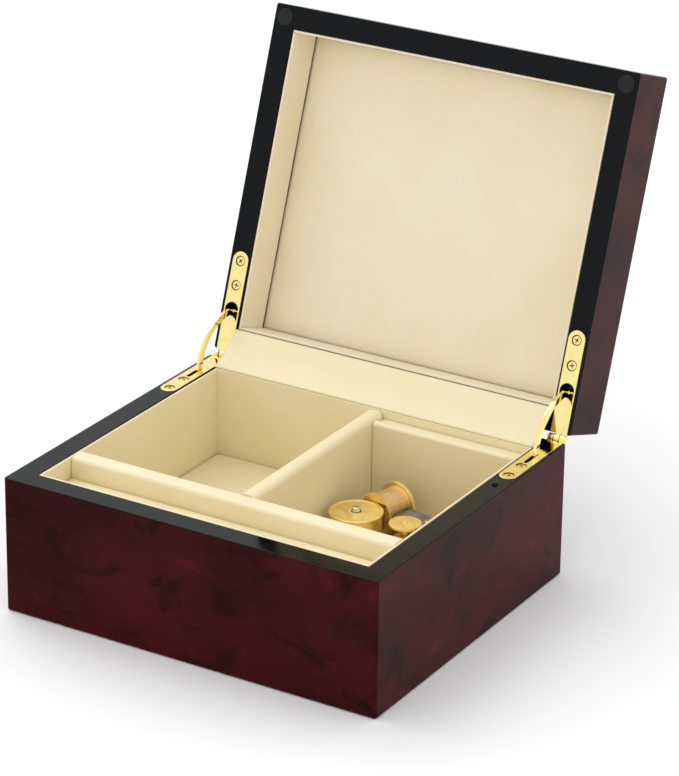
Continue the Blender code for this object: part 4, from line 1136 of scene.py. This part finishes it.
def makeBedplate():
    low, high = boxIn(movementPlace, "movement_bedplate")
    thick = 1.6 * mm
    plate = blockShape(low, (high.x, high.y, low.z + thick))
    rounded(plate, 2.5 * mm, 6, lambda edge: abs(edge.verts[0].co.z - edge.verts[1].co.z)
            > thick / 2)
    foot = boxIn(movementPlace, "comb_screw_1")[0].x - 3.0 * mm
    comb = boxIn(movementPlace, "tuned_comb")
    pedestal = blockShape((foot, comb[1].y - 8.4 * mm, low.z + 0.5 * mm),
                          (foot + 10 * mm, comb[1].y, comb[0].z - 0.3 * mm))
    rounded(pedestal, 0.8 * mm, 4, lambda edge: abs(edge.verts[0].co.z
                                                    - edge.verts[1].co.z) > 2 * mm)
    plate = combined(plate, [pedestal], "UNION")
    tools = [latheShape([(0, low.z - mm), (2.4 * mm, low.z - mm), (2.4 * mm, low.z + 3 * mm),
                         (0, low.z + 3 * mm)], 32)]
    for name, radius in (("comb_screw_1", 1.3 * mm), ("comb_screw_2", 1.3 * mm),
                         ("mount_screw_1", 1.4 * mm), ("mount_screw_2", 1.4 * mm)):
        box = boxIn(movementPlace, name)
        deep = low.z - mm if name.startswith("mount") else box[0].z - 0.3 * mm
        bore = latheShape([(0, deep), (radius, deep), (radius, box[1].z + mm),
                           (0, box[1].z + mm)], 24)
        tools.append(moved(bore, (box[0].x + box[1].x) / 2, (box[0].y + box[1].y) / 2))
    plate = combined(plate, tools)
    rounded(plate, 0.2 * mm, 2, lambda edge: isSharp(edge, 60)
            and isLevel(edge, low.z + thick))
    part("bedplate", plate, [brownBrass], "base", "brass", ["movement_bedplate"])
    slottedScrew("combScrewFront", "comb_screw_1", 0.4, nickel)
    slottedScrew("combScrewBack", "comb_screw_2", 1.3, nickel)
    slottedScrew("mountScrewBack", "mount_screw_1", 0.9, nickel)
    slottedScrew("mountScrewFront", "mount_screw_2", 2.0, nickel)


def makeGovernor():
    low, high = boxIn(movementPlace, "governor_wheel")
    middle = (low + high) / 2
    wheel = (high.x - low.x) / 2
    disc, shaft = 7.9 * mm, 1.5 * mm
    wheelLow, discLow, top = low.z + 0.7 * mm, high.z - 1.9 * mm, high.z - 0.5 * mm
    spindle = latheShape([(0, low.z), (0.9 * mm, low.z), (0.9 * mm, wheelLow + 0.2 * mm),
                          (3.2 * mm, wheelLow + 0.2 * mm), (3.2 * mm, wheelLow + 1.9 * mm),
                          (shaft, wheelLow + 2.0 * mm), (shaft, discLow),
                          (disc - 0.25 * mm, discLow), (disc, discLow + 0.25 * mm),
                          (disc, top - 0.3 * mm), (disc - 0.1 * mm, top - 0.08 * mm),
                          (disc - 0.3 * mm, top), (1.6 * mm, top), (1.5 * mm, top - 0.1 * mm),
                          (1.0 * mm, top - 0.1 * mm), (0.95 * mm, high.z - 0.15 * mm),
                          (0.75 * mm, high.z), (0, high.z)], 72)
    teeth = gearDisc(wheel, wheelLow, wheelLow + 1.2 * mm, 56)
    shape = combined(spindle, [teeth], "UNION")
    moved(shape, middle.x, middle.y)
    part("governorWheel", shape, [brass], "governor", "brass", ["governor_wheel"])


def makeGovernorBracket():
    low, high = boxIn(movementPlace, "governor_bracket")
    wheel = boxIn(movementPlace, "governor_wheel")
    fan = boxIn(movementPlace, "governor_fan")
    plateLow = high.z - 1.4 * mm
    outline = [(low.x, plateLow), (high.x - 2.2 * mm, plateLow), (high.x - 2.2 * mm, low.z),
               (high.x, low.z)]
    outline += arcPoints((high.x - 0.8 * mm, high.z - 0.8 * mm), 0.8 * mm, 0, 90, 5)
    outline += [(low.x, high.z)]
    shape = cutShape([(x, -z) for x, z in outline], high.y - low.y, "Y")
    moved(shape, y=low.y)
    bores = []
    for box, radius in ((wheel, 1.8 * mm), (fan, 1.0 * mm)):
        bore = latheShape([(0, low.z), (radius, low.z), (radius, high.z + mm),
                           (0, high.z + mm)], 24)
        bores.append(moved(bore, (box[0].x + box[1].x) / 2, (box[0].y + box[1].y) / 2))
    shape = combined(shape, bores)
    rounded(shape, 0.2 * mm, 2, lambda edge: isSharp(edge, 60))
    part("governorBracket", shape, [brownBrass], "base", "brass", ["governor_bracket"])


def makeFan():
    low, high = boxIn(movementPlace, "governor_fan")
    middle = (low + high) / 2
    thin, worm = 0.7 * mm, 1.6 * mm
    wormLow, threads = high.z - 2.0 * mm, 3
    rise = (1.4 * mm) / threads
    profile = [(0, low.z), (thin * 0.6, low.z), (thin, low.z + 0.4 * mm), (thin, wormLow)]
    for thread in range(threads):
        base = wormLow + thread * rise
        profile += [(1.0 * mm, base + 0.02 * mm), (worm, base + rise * 0.45),
                    (worm, base + rise * 0.6), (1.0 * mm, base + rise - 0.02 * mm)]
    profile += [(thin, high.z - 0.6 * mm), (thin, high.z - 0.15 * mm),
                (thin - 0.15 * mm, high.z), (0, high.z)]
    shape = latheShape(profile, 24)
    bladeLow, bladeHigh = low.z + 1.9 * mm, low.z + 4.3 * mm
    half = (high.x - low.x) / 2
    blade = blockShape((-half, -0.3 * mm, bladeLow), (half, 0.3 * mm, bladeHigh))
    rounded(blade, 0.8 * mm, 4, lambda edge: abs(edge.verts[0].co.y - edge.verts[1].co.y)
            > 0.5 * mm)
    shape = combined(shape, [blade], "UNION")
    moved(shape, middle.x, middle.y)
    part("governorFan", shape, [steel], "fan", "steel", ["governor_fan"])


def makeStop():
    low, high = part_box("stop_pin")
    radius = (high.x - low.x) / 2
    shape = latheShape([(0, low.z), (radius, low.z), (radius, high.z - 0.45 * mm),
                        (radius - 0.08 * mm, high.z - 0.2 * mm),
                        (radius - 0.3 * mm, high.z - 0.03 * mm), (0, high.z)], 32)
    moved(shape, (low.x + high.x) / 2, (low.y + high.y) / 2)
    makePiece("stopPin", shape, [darkSteel], "stop_pin", ["stop_pin"])
    low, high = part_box("stop_lever")
    pivot = Vector(joints["stop_lever_turn"]["pos_m"])
    bar = blockShape((low.x, pivot.y - 0.9 * mm, pivot.z - 0.6 * mm),
                     (high.x, pivot.y + 0.9 * mm, pivot.z + 0.6 * mm))
    rounded(bar, 0.2 * mm, 2)
    pin = latheShape([(0, low.y), (0.7 * mm, low.y), (0.9 * mm, low.y + 0.2 * mm),
                      (0.9 * mm, high.y - 0.2 * mm), (0.7 * mm, high.y), (0, high.y)], 24)
    turnTo(pin, "Y")
    moved(pin, pivot.x, 0, pivot.z)
    makePiece("stopLever", combined(bar, [pin], "UNION"), [steel], "stop_lever",
              ["stop_lever"], even=True)
    low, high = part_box("lever_bracket")
    floor, gap = low.z + 1.2 * mm, 1.4 * mm
    ears = [(low.y, low.z), (high.y, low.z), (high.y, high.z), (pivot.y + gap, high.z),
            (pivot.y + gap, floor), (pivot.y - gap, floor), (pivot.y - gap, high.z),
            (low.y, high.z)]
    bracket = moved(cutShape(ears, high.x - low.x, "X"), low.x)
    bore = latheShape([(0, low.y - mm), (1.2 * mm, low.y - mm), (1.2 * mm, high.y + mm),
                       (0, high.y + mm)], 24)
    turnTo(bore, "Y")
    bracket = combined(bracket, [moved(bore, pivot.x, 0, pivot.z)])
    rounded(bracket, 0.2 * mm, 2, lambda edge: isSharp(edge, 60))
    makePiece("leverBracket", bracket, [brass], "base", ["lever_bracket"], even=True)


makeBarrel()
makeWinding()
makeDrum()
makeDrumBracket()
makeComb()
makeBedplate()
makeGovernor()
makeGovernorBracket()
makeFan()
makeStop()
print("movement made")

# The underside: a felt pad, and the inner boards that need only their finishes

under = {"feltOpening": 24 * mm, "feltEdge": 0.35 * mm}


def makeUnderside():
    low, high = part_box("base_felt")
    hole = latheShape([(0, -mm), (under["feltOpening"], -mm), (under["feltOpening"], 2 * mm),
                       (0, 2 * mm)], 72)
    shape = combined(blockShape(low, high), [moved(hole, barrelAt.x, barrelAt.y)])
    rounded(shape, under["feltEdge"], 3, lambda edge: isLevel(edge, low.z) and isSharp(edge))
    makePiece("baseFelt", shape, [felt], "base", ["base_felt"], even=True)
    for node, finish in (("base_bottom_panel", board), ("base_inner_floor", board),
                         ("mainspring", steel), ("ratchet_click", nickel)):
        for slot in frame["nodes"][node].material_slots:
            slot.material = finish


makeUnderside()
print("underside made")

# The studio: a pale floor, an even soft sky and one soft key from the back left

studio = {"floor": 14.0, "floorTone": (0.95, 0.95, 0.96), "sky": (1.0, 1.0, 1.0),
          "skyPower": 0.98, "keyPower": 0.88, "keySpread": 50, "keyAzimuth": 160,
          "keyHeight": 50}


def makeStudio():
    shape = bmesh.new()
    bmesh.ops.create_grid(shape, x_segments=8, y_segments=8, size=studio["floor"] / 2)
    mesh = bpy.data.meshes.new("studioFloor")
    shape.to_mesh(mesh)
    shape.free()
    floor = bpy.data.objects.new("studioFloor", mesh)
    bpy.context.scene.collection.objects.link(floor)
    paper, tree, shader = newFinish("studioPaper", 0.9)
    fleck = texture(tree, "ShaderNodeTexNoise", (0, 0, 0), Scale=300, Detail=2)
    tone = studio["floorTone"]
    tree.links.new(ramp(tree, fleck.outputs["Fac"],
                        [(0.3, tuple(part * 0.99 for part in tone)), (0.7, tone)]),
                   shader.inputs["Base Color"])
    shader.inputs["Specular IOR Level"].default_value = 0.1
    mesh.materials.append(paper)
    world = bpy.context.scene.world or bpy.data.worlds.new("studioSky")
    bpy.context.scene.world = world
    world.use_nodes = True
    sky = world.node_tree.nodes["Background"]
    sky.inputs["Color"].default_value = (*studio["sky"], 1)
    sky.inputs["Strength"].default_value = studio["skyPower"]
    key = bpy.data.lights.new("keyLight", "SUN")
    key.energy = studio["keyPower"]
    key.angle = math.radians(studio["keySpread"])
    lamp = bpy.data.objects.new("keyLight", key)
    bpy.context.scene.collection.objects.link(lamp)
    around, up = math.radians(studio["keyAzimuth"]), math.radians(studio["keyHeight"])
    towards = Vector((math.cos(around) * math.cos(up), math.sin(around) * math.cos(up),
                      math.sin(up)))
    lamp.rotation_euler = towards.to_track_quat("Z", "Y").to_euler()


viewpoint = {"place": (0.82983, -1.33775, 0.78762), "azimuth": 30.949, "height": 23.395,
             "roll": 0.740, "lens": 170.14, "film": 36}


def makeCamera():
    azimuth, height, roll = (math.radians(viewpoint[key])
                             for key in ("azimuth", "height", "roll"))
    back = Vector((math.sin(azimuth) * math.cos(height),
                   -math.cos(azimuth) * math.cos(height), math.sin(height)))
    level = Vector((math.cos(azimuth), math.sin(azimuth), 0))
    upright = back.cross(level)
    right = level * math.cos(roll) + upright * math.sin(roll)
    up = upright * math.cos(roll) - level * math.sin(roll)
    camera = bpy.data.cameras.new("mainCamera")
    camera.lens = viewpoint["lens"]
    camera.sensor_width = viewpoint["film"]
    camera.sensor_height = viewpoint["film"]
    camera.sensor_fit = "AUTO"
    camera.clip_end = 60
    holder = bpy.data.objects.new("mainCamera", camera)
    bpy.context.scene.collection.objects.link(holder)
    turn = Matrix((right, up, back)).transposed().to_4x4()
    holder.matrix_world = Matrix.Translation(viewpoint["place"]) @ turn
    bpy.context.scene.camera = holder


makeStudio()
makeCamera()
bpy.context.scene.view_settings.view_transform = "Standard"
print("studio made")
